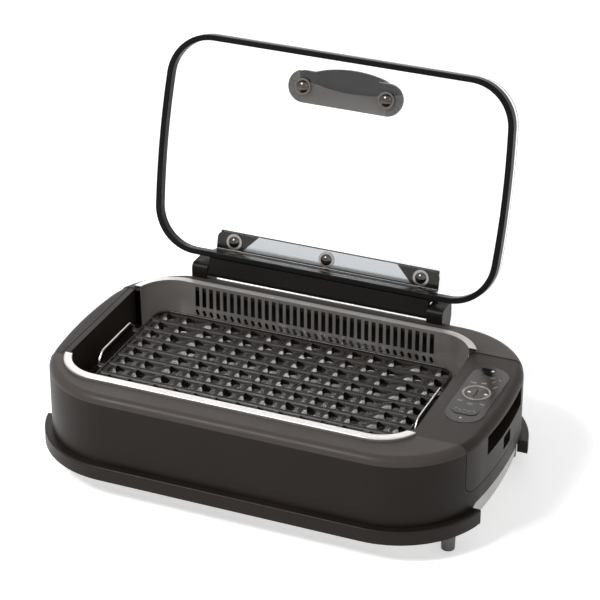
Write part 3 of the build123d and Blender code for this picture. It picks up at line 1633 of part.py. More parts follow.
grip_plane = Plane(
    lid_frame * Plane(origin=(0, handle_y, glass_top), x_dir=(1, 0, 0), z_dir=(0, -1, 0)).location
)
grip_across = Axis((0, 0, 0), grip_plane.z_dir)
inner_shoulder = grip_shoulder - grip_band / 2
inner_crown = grip_crown_half - grip_band / 2
with BuildPart() as lid_handle:
    with BuildSketch(grip_plane):
        with BuildSketch(mode=Mode.PRIVATE) as grip_outside:
            with BuildLine():
                Polyline(
                    (-grip_half, -grip_height),
                    (-grip_half, grip_shoulder),
                    (-grip_crown_half, grip_height),
                    (grip_crown_half, grip_height),
                    (grip_half, grip_shoulder),
                    (grip_half, -grip_height),
                    close=True,
                )
            make_face()
            fillet(grip_outside.vertices().sort_by(Axis.Y)[2:], grip_bend)
        with BuildSketch(mode=Mode.PRIVATE) as grip_inside:
            with BuildLine():
                Polyline(
                    (grip_band - grip_half, -grip_height),
                    (grip_band - grip_half, inner_shoulder),
                    (-inner_crown, grip_height - grip_band),
                    (inner_crown, grip_height - grip_band),
                    (grip_half - grip_band, inner_shoulder),
                    (grip_half - grip_band, -grip_height),
                    close=True,
                )
            make_face()
            fillet(grip_inside.vertices().sort_by(Axis.Y)[2:], grip_bend - grip_band)
        add(grip_outside.sketch)
        add(grip_inside.sketch, mode=Mode.SUBTRACT)
    extrude(amount=grip_front, both=True)
    # The grip is wide in the middle and narrow over its feet
    with BuildSketch(lid_level(gasket_top)):
        with BuildLine():
            ThreePointArc(
                (-grip_half, handle_y - grip_front_end),
                (0, handle_y - grip_front),
                (grip_half, handle_y - grip_front_end),
            )
            Line((grip_half, handle_y - grip_front_end), (grip_half, handle_y + grip_back_end))
            ThreePointArc(
                (grip_half, handle_y + grip_back_end),
                (0, handle_y + grip_back),
                (-grip_half, handle_y + grip_back_end),
            )
            Line((-grip_half, handle_y + grip_back_end), (-grip_half, handle_y - grip_front_end))
        make_face()
    extrude(amount=2 * grip_height, mode=Mode.INTERSECT)
    fillet(
        lid_handle.faces().sort_by(grip_across)[0].edges()
        + lid_handle.faces().sort_by(grip_across)[-1].edges(),
        grip_edge,
    )
    # Half-moon feet over the ends of the gasket
    with BuildSketch(lid_level(gasket_top)):
        with Locations((0, handle_y)):
            SlotOverall(gasket_length - 2 * foot_edge, gasket_width - 2 * foot_edge)
            Rectangle(2 * foot_inner_half, 2 * gasket_width, mode=Mode.SUBTRACT)
    extrude(amount=foot_height)
    with BuildSketch(lid_level(gasket_top)):
        with Locations(handle_places):
            Circle(screw_hole)
    extrude(amount=foot_height - seat_gap, mode=Mode.SUBTRACT)
lid_handle.part.label = "lid_handle"
export_step(lid_handle.part, "parts/lid_handle.step")

with BuildPart() as handle_bushes:
    with BuildSketch(lid_level(dish_depth)):
        with Locations(handle_places):
            Circle(bush_radius)
            Circle(screw_hole, mode=Mode.SUBTRACT)
    extrude(amount=glass)
handle_bushes.part.label = "handle_bushes"
export_step(handle_bushes.part, "parts/handle_bushes.step")

with BuildPart() as handle_washers:
    with BuildSketch(lid_level(dish_depth - washer_thickness)):
        with Locations(handle_places):
            Circle(handle_washer_radius)
            Circle(screw_hole, mode=Mode.SUBTRACT)
    extrude(amount=washer_thickness)
handle_washers.part.label = "handle_washers"
export_step(handle_washers.part, "parts/handle_washers.step")

handle_head = dish_depth - washer_thickness
handle_shank = gasket_top + foot_height - 2 * seat_gap - handle_head
with BuildPart() as handle_screws:
    for place_x, place_y in handle_places:
        turned = lid_frame * Location((place_x, place_y, handle_head), (180, 0, 0))
        add(domed_screw(handle_dome_radius, dome_height, lid_screw_radius, handle_shank).moved(turned))
handle_screws.part.label = "handle_screws"
export_step(handle_screws.part, "parts/handle_screws.step")
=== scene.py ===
"""Looks of a countertop smokeless grill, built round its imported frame.

Each sub-assembly is a class with its sizes in millimetres. A class dresses the frame's own
nodes with procedural finishes and adds the finer surfaces, which are worked out as arrays.
"""

from __future__ import annotations

import logging
import math
from dataclasses import dataclass
from enum import Enum
from typing import Sequence

import bpy
import numpy as np
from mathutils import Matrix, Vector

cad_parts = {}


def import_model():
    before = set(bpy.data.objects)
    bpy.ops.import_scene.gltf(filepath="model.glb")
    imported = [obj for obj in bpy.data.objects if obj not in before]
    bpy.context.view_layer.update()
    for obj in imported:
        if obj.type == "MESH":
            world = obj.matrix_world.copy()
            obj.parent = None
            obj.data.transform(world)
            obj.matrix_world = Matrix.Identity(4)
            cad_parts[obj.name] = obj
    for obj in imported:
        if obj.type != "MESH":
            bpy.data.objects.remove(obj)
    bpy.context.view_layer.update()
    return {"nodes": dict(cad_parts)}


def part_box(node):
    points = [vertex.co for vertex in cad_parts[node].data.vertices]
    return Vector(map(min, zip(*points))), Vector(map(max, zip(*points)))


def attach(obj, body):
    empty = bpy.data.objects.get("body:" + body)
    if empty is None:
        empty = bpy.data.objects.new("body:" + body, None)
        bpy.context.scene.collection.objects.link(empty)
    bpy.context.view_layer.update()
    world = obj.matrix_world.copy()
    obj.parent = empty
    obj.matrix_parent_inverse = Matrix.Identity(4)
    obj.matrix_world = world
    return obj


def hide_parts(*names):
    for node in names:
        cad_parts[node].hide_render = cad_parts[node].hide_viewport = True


LOG = logging.getLogger("grill")
MM = 0.001
Colour = tuple[float, float, float]
Socket = bpy.types.NodeSocket
WHITE = (1.0, 1.0, 1.0, 1.0)
OCTAVE_SHARE = 0.55


class Lay(Enum):
    """How far a finish's grain is drawn out along x, y and z."""

    EVEN = (1.0, 1.0, 1.0)
    ALONG_X = (0.03, 1.0, 1.0)
    ALONG_Y = (1.0, 0.03, 1.0)


class NodeTree:
    """A node tree with short calls for adding and joining nodes."""

    def __init__(self, owner: bpy.types.Material | bpy.types.World, output: str) -> None:
        """Empty the owner's tree and give it an output.

        Args:
            owner: the material or world that the tree belongs to.
            output: the Blender type of its output node.
        """
        self.owner = owner
        owner.use_nodes = True
        self.tree = owner.node_tree
        self.tree.nodes.clear()
        self.output = self.add(output)

    @classmethod
    def of_material(cls, name: str) -> NodeTree:
        """Start the tree of a new material."""
        return cls(bpy.data.materials.new(name), "ShaderNodeOutputMaterial")

    def feed(self, target: Socket, value: Socket | float | Sequence[float]) -> None:
        """Link a socket to an input, or set the input's constant.

        Args:
            target: the input.
            value: the socket or the constant.
        """
        if isinstance(value, bpy.types.NodeSocket):
            self.tree.links.new(value, target)
        else:
            target.default_value = value

    def add(self, kind: str, **inputs: Socket | float | Sequence[float]) -> bpy.types.Node:
        """Add a node and feed its inputs by name.

        Args:
            kind: the node's Blender type.
            **inputs: input names, with underscores for spaces, and what feeds them.

        Returns:
            The new node.
        """
        node = self.tree.nodes.new(kind)
        for key, value in inputs.items():
            self.feed(node.inputs[key.replace("_", " ")], value)
        return node

    def show(self, shader: Socket) -> bpy.types.Material | bpy.types.World:
        """Send a shader to the output and hand back the tree's owner."""
        self.feed(self.output.inputs["Surface"], shader)
        return self.owner

    def calculate(self, operation: str, *values: Socket | float) -> Socket:
        """Work out one step of arithmetic.

        Args:
            operation: its Blender name.
            *values: what it works on, in order.

        Returns:
            The result.
        """
        node = self.tree.nodes.new("ShaderNodeMath")
        node.operation = operation
        for target, value in zip(node.inputs, values):
            self.feed(target, value)
        return node.outputs[0]

    def noise(self, vector: Socket, scale: float, detail: float = 3.0) -> Socket:
        """Add a noise pattern.

        Args:
            vector: where the pattern is read.
            scale: repeats in a metre.
            detail: octaves of finer noise.

        Returns:
            The pattern's factor socket, between 0 and 1.
        """
        node = self.add(
            "ShaderNodeTexNoise", Vector=vector, Scale=scale, Detail=detail, Roughness=OCTAVE_SHARE
        )
        return node.outputs["Fac"]

    def ramp(
        self, source: Socket, low: float, high: float, start: float = 0.3, end: float = 0.7
    ) -> Socket:
        """Map a factor from [start, end] to [low, high], held at both ends.

        Args:
            source: the factor.
            low: the value at start.
            high: the value at end.
            start: the factor that gives low.
            end: the factor that gives high.

        Returns:
            The mapped value.
        """
        node = self.tree.nodes.new("ShaderNodeMapRange")
        for target, value in zip(node.inputs, (source, start, end, low, high)):
            self.feed(target, value)
        return node.outputs[0]

    def blend(self, factor: Socket, first: Socket | Colour, second: Socket | Colour) -> Socket:
        """Mix two colours by a factor.

        Args:
            factor: 0 gives the first colour and 1 the second.
            first: linear colour, or the socket that gives it.
            second: linear colour, or the socket that gives it.

        Returns:
            The mixed colour.
        """
        node = self.tree.nodes.new("ShaderNodeMix")
        node.data_type = "RGBA"
        self.feed(node.inputs["Factor"], factor)
        for key, colour in (("A", first), ("B", second)):
            given = isinstance(colour, bpy.types.NodeSocket)
            self.feed(node.inputs[key], colour if given else (*colour, 1.0))
        return node.outputs["Result"]

    def mix(self, factor: Socket, first: Socket, second: Socket) -> Socket:
        """Mix two shaders by a factor.

        Args:
            factor: 0 gives the first shader and 1 the second.
            first: a shader's socket.
            second: a shader's socket.

        Returns:
            The mixed shader.
        """
        node = self.add("ShaderNodeMixShader", Fac=factor)
        for target, shader in zip(node.inputs[1:], (first, second)):
            self.feed(target, shader)
        return node.outputs[0]

    def scaled(self, lay: Lay, centre: Sequence[float] = (0.0, 0.0, 0.0)) -> Socket:
        """Read the object's own coordinates, drawn out along the lay.

        Args:
            lay: which way the grain runs.
            centre: the point, in metres, that the pattern is centred on.

        Returns:
            The mapped coordinates.
        """
        place = self.tree.nodes.new("ShaderNodeTexCoord").outputs["Object"]
        shift = [-c * s for c, s in zip(centre, lay.value)]
        mapping = self.add("ShaderNodeMapping", Vector=place, Scale=lay.value, Location=shift)
        return mapping.outputs["Vector"]

    def seen(self) -> Socket:
        """Work out whether the camera, a mirror or glass looks at the surface.

        Returns:
            A factor of 1 for such rays and 0 for light.
        """
        rays = self.tree.nodes.new("ShaderNodeLightPath").outputs
        direct = self.calculate("MAXIMUM", rays["Is Camera Ray"], rays["Is Glossy Ray"])
        return self.calculate("MAXIMUM", direct, rays["Is Transmission Ray"])


@dataclass(frozen=True)
class Finish:
    """An opaque finish: a drifting colour, a grain in the roughness and the relief, and rubbed spots.

    Grain, patch and fleck count repeats in a metre, and relief is in millimetres. Above the two heights
    of painted_light_above, also in millimetres, its colour takes over. That colour is painted light: a
    painted highlight on the housing's top and the liner's rim, and a painted reflection on the hinge strip.
    """

    name: str
    colour: Colour
    drift: Colour
    roughness: tuple[float, float]
    grain: float
    relief: float
    metallic: float = 0.0
    specular: float = 0.5
    coat: float = 0.0
    coat_roughness: float = 0.08
    lay: Lay = Lay.EVEN
    grain_share: float = 0.7
    bump: float = 0.6
    patch: float = 14.0
    fleck: float = 160.0
    rubbed: Colour | None = None
    painted_light_above: tuple[tuple[float, float], Colour] | None = None

    def material(self) -> bpy.types.Material:
        """Build the finish's node tree.

        Returns:
            The material.
        """
        tree = NodeTree.of_material(self.name)
        fine = tree.noise(tree.scaled(self.lay), self.grain)
        broad = tree.noise(tree.scaled(Lay.EVEN), self.patch, detail=2.0)
        colour = tree.blend(tree.ramp(broad, 0.0, 1.0), self.colour, self.drift)
        # Painted light: above the given heights the colour turns lighter, standing in for light caught
        # there.
        if self.painted_light_above is not None:
            colour = self._paint_light_above(tree, colour)
        if self.rubbed is not None:
            flecks = tree.noise(tree.scaled(Lay.EVEN), self.fleck, detail=6.0)
            colour = tree.blend(tree.ramp(flecks, 0.0, 0.6, start=0.6, end=0.72), colour, self.rubbed)
        rest = tree.ramp(broad, 0.0, 1.0 - self.grain_share)
        wear = tree.calculate("MULTIPLY_ADD", fine, self.grain_share, rest)
        bump = tree.add("ShaderNodeBump", Strength=self.bump, Distance=self.relief * MM, Height=fine)
        shader = tree.add(
            "ShaderNodeBsdfPrincipled",
            Base_Color=colour,
            Metallic=self.metallic,
            Roughness=tree.ramp(wear, *self.roughness),
            Specular_IOR_Level=self.specular,
            Coat_Weight=self.coat,
            Coat_Roughness=self.coat_roughness,
            Normal=bump.outputs["Normal"],
        )
        return tree.show(shader.outputs["BSDF"])

    def _paint_light_above(self, tree: NodeTree, colour: Socket) -> Socket:
        """Turn to the painted light's colour between two heights, so the part is painted lighter above
        them.

        Args:
            tree: the tree being built.
            colour: the colour below.

        Returns:
            The colour by height.
        """
        (low, high), above = self.painted_light_above
        parts = tree.add("ShaderNodeSeparateXYZ", Vector=tree.scaled(Lay.EVEN))
        share = tree.ramp(parts.outputs["Z"], 0.0, 1.0, low * MM, high * MM)
        return tree.blend(share, colour, above)


@dataclass(frozen=True)
class PaintedReflectionStrip(Finish):
    """Polished steel with a painted reflection: bright between two slanting lines and dark towards both
    ends.
    """

    middle_x: float = 0.0
    reach: float = 0.0
    fade: float = 0.8

    def _paint_light_above(self, tree: NodeTree, colour: Socket) -> Socket:
        """Keep the painted bright reflection only where |x - middle| + z is less than the reach.

        Args:
            tree: the tree being built.
            colour: the dark colour of the ends, a painted dark reflection.

        Returns:
            The colour over the strip.
        """
        bright = super()._paint_light_above(tree, colour)
        place = tree.scaled(Lay.EVEN, (self.middle_x * MM, 0.0, 0.0))
        parts = tree.add("ShaderNodeSeparateXYZ", Vector=place)
        total = tree.calculate("ADD", tree.calculate("ABSOLUTE", parts.outputs["X"]), parts.outputs["Z"])
        limits = ((self.reach - self.fade) * MM, (self.reach + self.fade) * MM)
        return tree.blend(tree.ramp(total, 0.0, 1.0, *limits), bright, colour)


@dataclass(frozen=True)
class GlassFinish:
    """Clear glass with faint smears that show only in its gloss."""

    name: str
    tint: Colour
    roughness: tuple[float, float]
    index: float = 1.45
    specular: float = 0.05
    smear: float = 22.0
    smear_shade: float = 0.985

    def material(self) -> bpy.types.Material:
        """Build the glass's node tree.

        Returns:
            The material.
        """
        tree = NodeTree.of_material(self.name)
        smears = tree.noise(tree.scaled(Lay.EVEN), self.smear, detail=4.0)
        shaded = tuple(part * self.smear_shade for part in self.tint)
        shader = tree.add(
            "ShaderNodeBsdfPrincipled",
            Base_Color=tree.blend(tree.ramp(smears, 0.0, 1.0), self.tint, shaded),
            Roughness=tree.ramp(smears, *self.roughness, start=0.5, end=0.75),
            IOR=self.index,
            Specular_IOR_Level=self.specular,
            Transmission_Weight=1.0,
        )
        return tree.show(shader.outputs["BSDF"])


@dataclass(frozen=True)
class Finishes:
    """Every finish of the grill, by the name of its material slot."""

    table: tuple[Finish | GlassFinish, ...] = (
        Finish("housing_black", (0.0150, 0.0100, 0.0075), (0.0185, 0.0128, 0.0098), (0.36, 0.48), 900,
               0.03, specular=0.18),
        # Painted highlight: the housing's top ring turns lighter above 114.6 mm, standing in for the
        # overhead light it catches.
        Finish("shell_black", (0.0112, 0.0076, 0.0058), (0.0142, 0.0098, 0.0076), (0.34, 0.46), 900, 0.03,
               specular=0.15, painted_light_above=((114.6, 115.6), (0.056, 0.047, 0.0425))),
        Finish("skirt_black", (0.0112, 0.0078, 0.0060), (0.0145, 0.0104, 0.0082), (0.34, 0.46), 900, 0.03,
               specular=0.17),
        Finish("pan_grey", (0.42, 0.41, 0.40), (0.50, 0.49, 0.48), (0.35, 0.5), 700, 0.02, metallic=0.9,
               lay=Lay.ALONG_Y),
        Finish("foot_grey", (0.11, 0.11, 0.115), (0.15, 0.15, 0.155), (0.6, 0.75), 500, 0.08),
        Finish("screw_steel", (0.50, 0.50, 0.50), (0.58, 0.58, 0.58), (0.25, 0.4), 900, 0.02, metallic=1.0),
        # Painted highlight: the liner's steel turns much brighter above 126.8 mm, standing in for light
        # caught on its rim.
        Finish("liner_steel", (0.40, 0.372, 0.354), (0.46, 0.43, 0.41), (0.32, 0.44), 600, 0.02,
               metallic=0.80, lay=Lay.ALONG_X, painted_light_above=((126.8, 127.7), (0.66, 0.64, 0.622))),
        Finish("panel_grey", (0.030, 0.0245, 0.0215), (0.036, 0.030, 0.0265), (0.12, 0.20), 1200, 0.004,
               specular=0.24),
        Finish("button_black", (0.024, 0.0195, 0.0172), (0.030, 0.0245, 0.0215), (0.16, 0.24), 900, 0.005,
               specular=0.28),
        Finish("ring_chrome", (0.20, 0.18, 0.165), (0.25, 0.225, 0.21), (0.3, 0.42), 600, 0.005,
               metallic=0.8),
        Finish("display_dark", (0.004, 0.004, 0.005), (0.007, 0.007, 0.008), (0.06, 0.12), 300, 0.003,
               specular=0.3),
        Finish("lamp_red", (0.62, 0.55, 0.53), (0.70, 0.60, 0.58), (0.1, 0.2), 300, 0.003, coat=0.3),
        Finish("print_pale", (0.16, 0.142, 0.132), (0.21, 0.188, 0.175), (0.4, 0.5), 900, 0.005),
        Finish("print_white", (0.70, 0.67, 0.65), (0.78, 0.75, 0.73), (0.4, 0.5), 900, 0.005),
        Finish("board_green", (0.02, 0.16, 0.06), (0.03, 0.20, 0.08), (0.3, 0.5), 500, 0.02),
        Finish("part_black", (0.02, 0.02, 0.02), (0.03, 0.03, 0.03), (0.45, 0.6), 700, 0.03),
        Finish("inlet_black", (0.012, 0.012, 0.012), (0.02, 0.02, 0.02), (0.4, 0.55), 700, 0.03),
        Finish("contact_brass", (0.75, 0.60, 0.32), (0.68, 0.52, 0.26), (0.18, 0.32), 700, 0.01,
               metallic=1.0),
        Finish("duct_steel", (0.50, 0.51, 0.52), (0.60, 0.61, 0.62), (0.35, 0.55), 120, 0.02, metallic=1.0),
        Finish("duct_dark", (0.010, 0.009, 0.008), (0.016, 0.014, 0.012), (0.6, 0.75), 400, 0.03,
               specular=0.2),
        Finish("plate_nonstick", (0.0130, 0.0095, 0.0078), (0.0200, 0.0155, 0.0132), (0.20, 0.30), 420,
               0.10, specular=0.24, rubbed=(0.035, 0.031, 0.028)),
        Finish("wire_steel", (0.50, 0.47, 0.445), (0.58, 0.55, 0.525), (0.16, 0.3), 600, 0.01,
               metallic=1.0),
        Finish("tray_aluminium", (0.66, 0.66, 0.66), (0.72, 0.72, 0.72), (0.3, 0.45), 500, 0.02,
               metallic=1.0, lay=Lay.ALONG_X),
        Finish("heater_steel", (0.26, 0.24, 0.22), (0.33, 0.27, 0.22), (0.3, 0.5), 500, 0.03, metallic=1.0),
        Finish("block_black", (0.02, 0.02, 0.02), (0.03, 0.03, 0.03), (0.45, 0.6), 700, 0.03),
        GlassFinish("lid_glass", (0.985, 0.99, 0.985), (0.0, 0.02)),
        Finish("rim_black", (0.0040, 0.0036, 0.0034), (0.0060, 0.0054, 0.0050), (0.26, 0.36), 700, 0.01,
               specular=0.10),
        Finish("hinge_black", (0.0070, 0.0058, 0.0050), (0.0095, 0.0080, 0.0070), (0.32, 0.44), 800, 0.02,
               specular=0.12),
        Finish("bright_steel", (0.66, 0.67, 0.69), (0.72, 0.73, 0.74), (0.07, 0.16), 500, 0.004,
               metallic=1.0, lay=Lay.ALONG_X),
        # Painted reflection: a dark strip with a bright painted band in its middle, standing in for what
        # the polished steel mirrors.
        PaintedReflectionStrip("strip_steel", (0.050, 0.047, 0.044), (0.060, 0.057, 0.053), (0.10, 0.20), 500, 0.004,
                    metallic=1.0, lay=Lay.ALONG_X, painted_light_above=((151.8, 152.4), (0.62, 0.645, 0.665)),
                    middle_x=-24.3, reach=256.4),
        Finish("washer_steel", (0.36, 0.35, 0.34), (0.44, 0.43, 0.42), (0.12, 0.22), 500, 0.006,
               metallic=1.0),
        # Painted dark reflection: the handle washers' steel is darkened to stand for the dark surroundings
        # they mirror.
        Finish("washer_dark", (0.16, 0.145, 0.13), (0.21, 0.19, 0.17), (0.12, 0.22), 500, 0.006,
               metallic=1.0),
        # Painted dark reflection: the screw domes' steel is made very dark to stand for the dark
        # surroundings they mirror.
        Finish("dome_steel", (0.085, 0.075, 0.068), (0.11, 0.098, 0.09), (0.08, 0.16), 500, 0.004,
               metallic=1.0),
        Finish("gasket_grey", (0.135, 0.120, 0.112), (0.165, 0.148, 0.138), (0.5, 0.65), 700, 0.02),
        Finish("bush_rubber", (0.03, 0.03, 0.03), (0.04, 0.04, 0.04), (0.6, 0.7), 600, 0.03),
        Finish("handle_gloss", (0.0040, 0.0036, 0.0034), (0.0060, 0.0054, 0.0052), (0.10, 0.18), 300, 0.003,
               specular=0.10),
    )

    def build(self) -> dict[str, bpy.types.Material]:
        """Build every material.

        Returns:
            Materials by slot name.
        """
        return {finish.name: finish.material() for finish in self.table}


def mesh_object(
    name: str, vertices: np.ndarray, faces: np.ndarray, material: bpy.types.Material, crease: float = 40.0
) -> bpy.types.Object:
    """Make a smooth mesh whose edges stay sharp where two faces meet at a large angle.

    Args:
        name: the piece's name.
        vertices: array of shape (count, 3), in metres.
        faces: array of shape (count, 4) of vertex numbers.
        material: its finish.
        crease: the angle, in degrees, above which an edge is sharp.

    Returns:
        The new object.
    """
    used, packed = np.unique(faces, return_inverse=True)
    mesh = bpy.data.meshes.new(name)
    mesh.from_pydata(vertices[used].tolist(), [], packed.reshape(faces.shape).tolist())
    mesh.polygons.foreach_set("use_smooth", np.ones(len(faces), bool))
    mesh.set_sharp_from_angle(angle=math.radians(crease))
    mesh.materials.append(material)
    mesh.update()
    piece = bpy.data.objects.new(name, mesh)
    bpy.context.scene.collection.objects.link(piece)
    LOG.info("built %s with %d faces", name, len(faces))
    return piece


def grid_object(
    name: str, points: np.ndarray, material: bpy.types.Material, wrap: tuple[bool, bool] = (False, False)
) -> bpy.types.Object:
    """Make a surface from grids of points.

    A quad joins each point (i, j) to (i+1, j), (i+1, j+1) and (i, j+1); a wrapped direction also
    joins its last row to its first.

    Args:
        name: the piece's name.
        points: array of shape (copies, rows, columns, 3), in metres.
        material: its finish.
        wrap: whether rows and columns close on themselves.

    Returns:
        The new object.
    """
    copies, rows, columns, _ = points.shape
    i = np.arange(rows if wrap[0] else rows - 1)
    j = np.arange(columns if wrap[1] else columns - 1)
    ii, jj = np.meshgrid(i, j, indexing="ij")
    ni, nj = (ii + 1) % rows, (jj + 1) % columns
    quads = np.stack(
        [ii * columns + jj, ni * columns + jj, ni * columns + nj, ii * columns + nj], axis=-1
    ).reshape(-1, 4)
    offsets = (np.arange(copies) * rows * columns)[:, None, None]
    return mesh_object(name, points.reshape(-1, 3), (quads[None] + offsets).reshape(-1, 4), material)


def rounded_run(corners: np.ndarray, radius: float, steps: int = 7) -> np.ndarray:
    """Round the inner corners of a polyline.

    At a corner the arc's centre lies on the line that halves the angle, r / sin(half angle) from the
    corner; the arc is swept evenly from one tangent point to the other.

    Args:
        corners: array of shape (count, 3).
        radius: the arcs' radius.
        steps: points on each arc.

    Returns:
        The run's points, ends included.
    """
    before, at, after = corners[:-2], corners[1:-1], corners[2:]
    u = (before - at) / np.linalg.norm(before - at, axis=1, keepdims=True)
    v = (after - at) / np.linalg.norm(after - at, axis=1, keepdims=True)
    half = np.arccos(np.clip((u * v).sum(1, keepdims=True), -1, 1)) / 2
    halving = (u + v) / np.linalg.norm(u + v, axis=1, keepdims=True)
    centre = at + halving * radius / np.sin(half)
    first = at + u * radius / np.tan(half) - centre
    last = at + v * radius / np.tan(half) - centre
    turn = np.pi - 2 * half
    share = np.linspace(0, 1, steps)[:, None, None]
    arcs = centre + (np.sin((1 - share) * turn) * first + np.sin(share * turn) * last) / np.sin(turn)
    return np.concatenate([corners[:1], arcs.transpose(1, 0, 2).reshape(-1, 3), corners[-1:]])


def tube(path: np.ndarray, normal: np.ndarray, half: tuple[float, float], sides: int = 12) -> np.ndarray:
    """Carry an ellipse along a flat path and close both ends.

    With t the path's direction, n the normal of its plane and s = t x n, a point of the surface is
    path + a cos(phi) s + b sin(phi) n; the ends shrink to a point.

    Args:
        path: array of shape (..., count, 3).
        normal: unit vector square to the path's plane.
        half: the ellipse's half width across the plane and half height along the normal.
        sides: points round the ellipse.

    Returns:
        Array of shape (..., count + 2, sides, 3).
    """
    tangent = np.gradient(path, axis=-2)
    side = np.cross(tangent, normal)
    side = side / np.linalg.norm(side, axis=-1, keepdims=True)
    phi = np.linspace(0, 2 * np.pi, sides, endpoint=False)[:, None]
    skin = path[..., :, None, :] + half[0] * np.cos(phi) * side[..., :, None, :]
    skin = skin + half[1] * np.sin(phi) * normal
    ends = np.broadcast_to(path[..., [0, -1], None, :], (*path.shape[:-2], 2, sides, 3))
    return np.concatenate([ends[..., :1, :, :], skin, ends[..., 1:, :, :]], axis=-3)


def turned(profile: np.ndarray, places: np.ndarray, steps: int = 24) -> np.ndarray:
    """Turn a profile of radius and height about upright axes.

    A point is place + (r cos(phi), r sin(phi), h).

    Args:
        profile: array of shape (count, 2).
        places: array of shape (copies, 3).
        steps: points round the axis.

    Returns:
        Array of shape (copies, count, steps, 3).
    """
    phi = np.linspace(0, 2 * np.pi, steps, endpoint=False)
    radius, height = profile[:, :1], profile[:, 1:]
    shape = np.stack([radius * np.cos(phi), radius * np.sin(phi), height + 0 * phi], axis=-1)
    return places[:, None, None, :] + shape[None]


def rounded_ring(
    size: tuple[float, float], corner: float, profile: np.ndarray, steps: int = 10
) -> np.ndarray:
    """Carry a closed profile round a rounded rectangle.

    On the corner with middle c and angle phi, a profile point of outward offset o and height z lies
    at c + (r + o)(cos(phi), sin(phi)), z; the straight sides join the corners.

    Args:
        size: the rectangle's width and depth.
        corner: its corner radius.
        profile: array of shape (count, 2) of offsets and heights.
        steps: points on each corner.

    Returns:
        Array of shape (1, 4 steps, count, 3), about the rectangle's middle.
    """
    quarter = np.linspace(0, np.pi / 2, steps)
    phi = (quarter[None] + np.arange(4)[:, None] * np.pi / 2).reshape(-1)
    middle_x = np.repeat([1, -1, -1, 1], steps) * (size[0] / 2 - corner)
    middle_y = np.repeat([1, 1, -1, -1], steps) * (size[1] / 2 - corner)
    reach = corner + profile[None, :, 0]
    x = middle_x[:, None] + reach * np.cos(phi)[:, None]
    y = middle_y[:, None] + reach * np.sin(phi)[:, None]
    return np.stack([x, y, np.broadcast_to(profile[None, :, 1], x.shape)], axis=-1)[None]


@dataclass
class SubAssembly:
    """What every sub-assembly is given, and how it dresses the frame's nodes.

    The body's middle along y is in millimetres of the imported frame.
    """

    finishes: dict[str, bpy.types.Material]
    nodes: dict[str, bpy.types.Object]
    body_y: float

    def dress(self, finish: str, *names: str) -> None:
        """Give some of the frame's nodes a finish.

        Args:
            finish: the finish's name.
            *names: the nodes to dress.
        """
        material = self.finishes[finish]
        for name in names:
            node = self.nodes[name]
            if not node.material_slots:
                node.data.materials.append(material)
            for place in node.material_slots:
                place.material = material
            LOG.info("dressed %s in %s", name, finish)


def body_middle() -> float:
    """Take the body's middle along y, in millimetres, from the outer housing's box."""
    low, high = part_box("outer_housing")
    return (low[1] + high[1]) / 2 / MM


def eased(share: np.ndarray, straight: float) -> np.ndarray:
    """Blend a straight slope with one that starts and ends level.

    With s the share, the result is k s + (1 - k) s^2 (3 - 2 s).

    Args:
        share: values between 0 and 1.
        straight: the straight slope's part k.

    Returns:
        Values between 0 and 1.
    """
    return straight * share + (1 - straight) * share * share * (3 - 2 * share)


@dataclass
class Body(SubAssembly):
    """The outer shell, skirt, pan and feet, with the boards, the fan and the sockets inside them."""

    def build(self) -> None:
        """Dress the body's nodes."""
        # The outer housing's finish carries a painted highlight on its top ring.
        self.dress("shell_black", "outer_housing")
        self.dress("housing_black", "left_end_cap", "control_housing")
        self.dress("skirt_black", "base_skirt")
        self.dress("pan_grey", "bottom_pan")
        feet = [f"foot_{end}_{side}" for end in ("front", "rear") for side in ("left", "right")]
        self.dress("foot_grey", *feet)
        self.dress("screw_steel", "foot_screws", "pan_screws", "board_screws")
        self.dress("duct_steel", "fan_duct", "board_spacers", "fan_motor")
        self.dress("part_black", "fan_frame", "fan_impeller", "display_module")
        self.dress("board_green", "control_board", "power_board")
        self.dress("inlet_black", "inlet_socket", "heater_socket")
        self.dress("contact_brass", "inlet_pins", "heater_contacts")


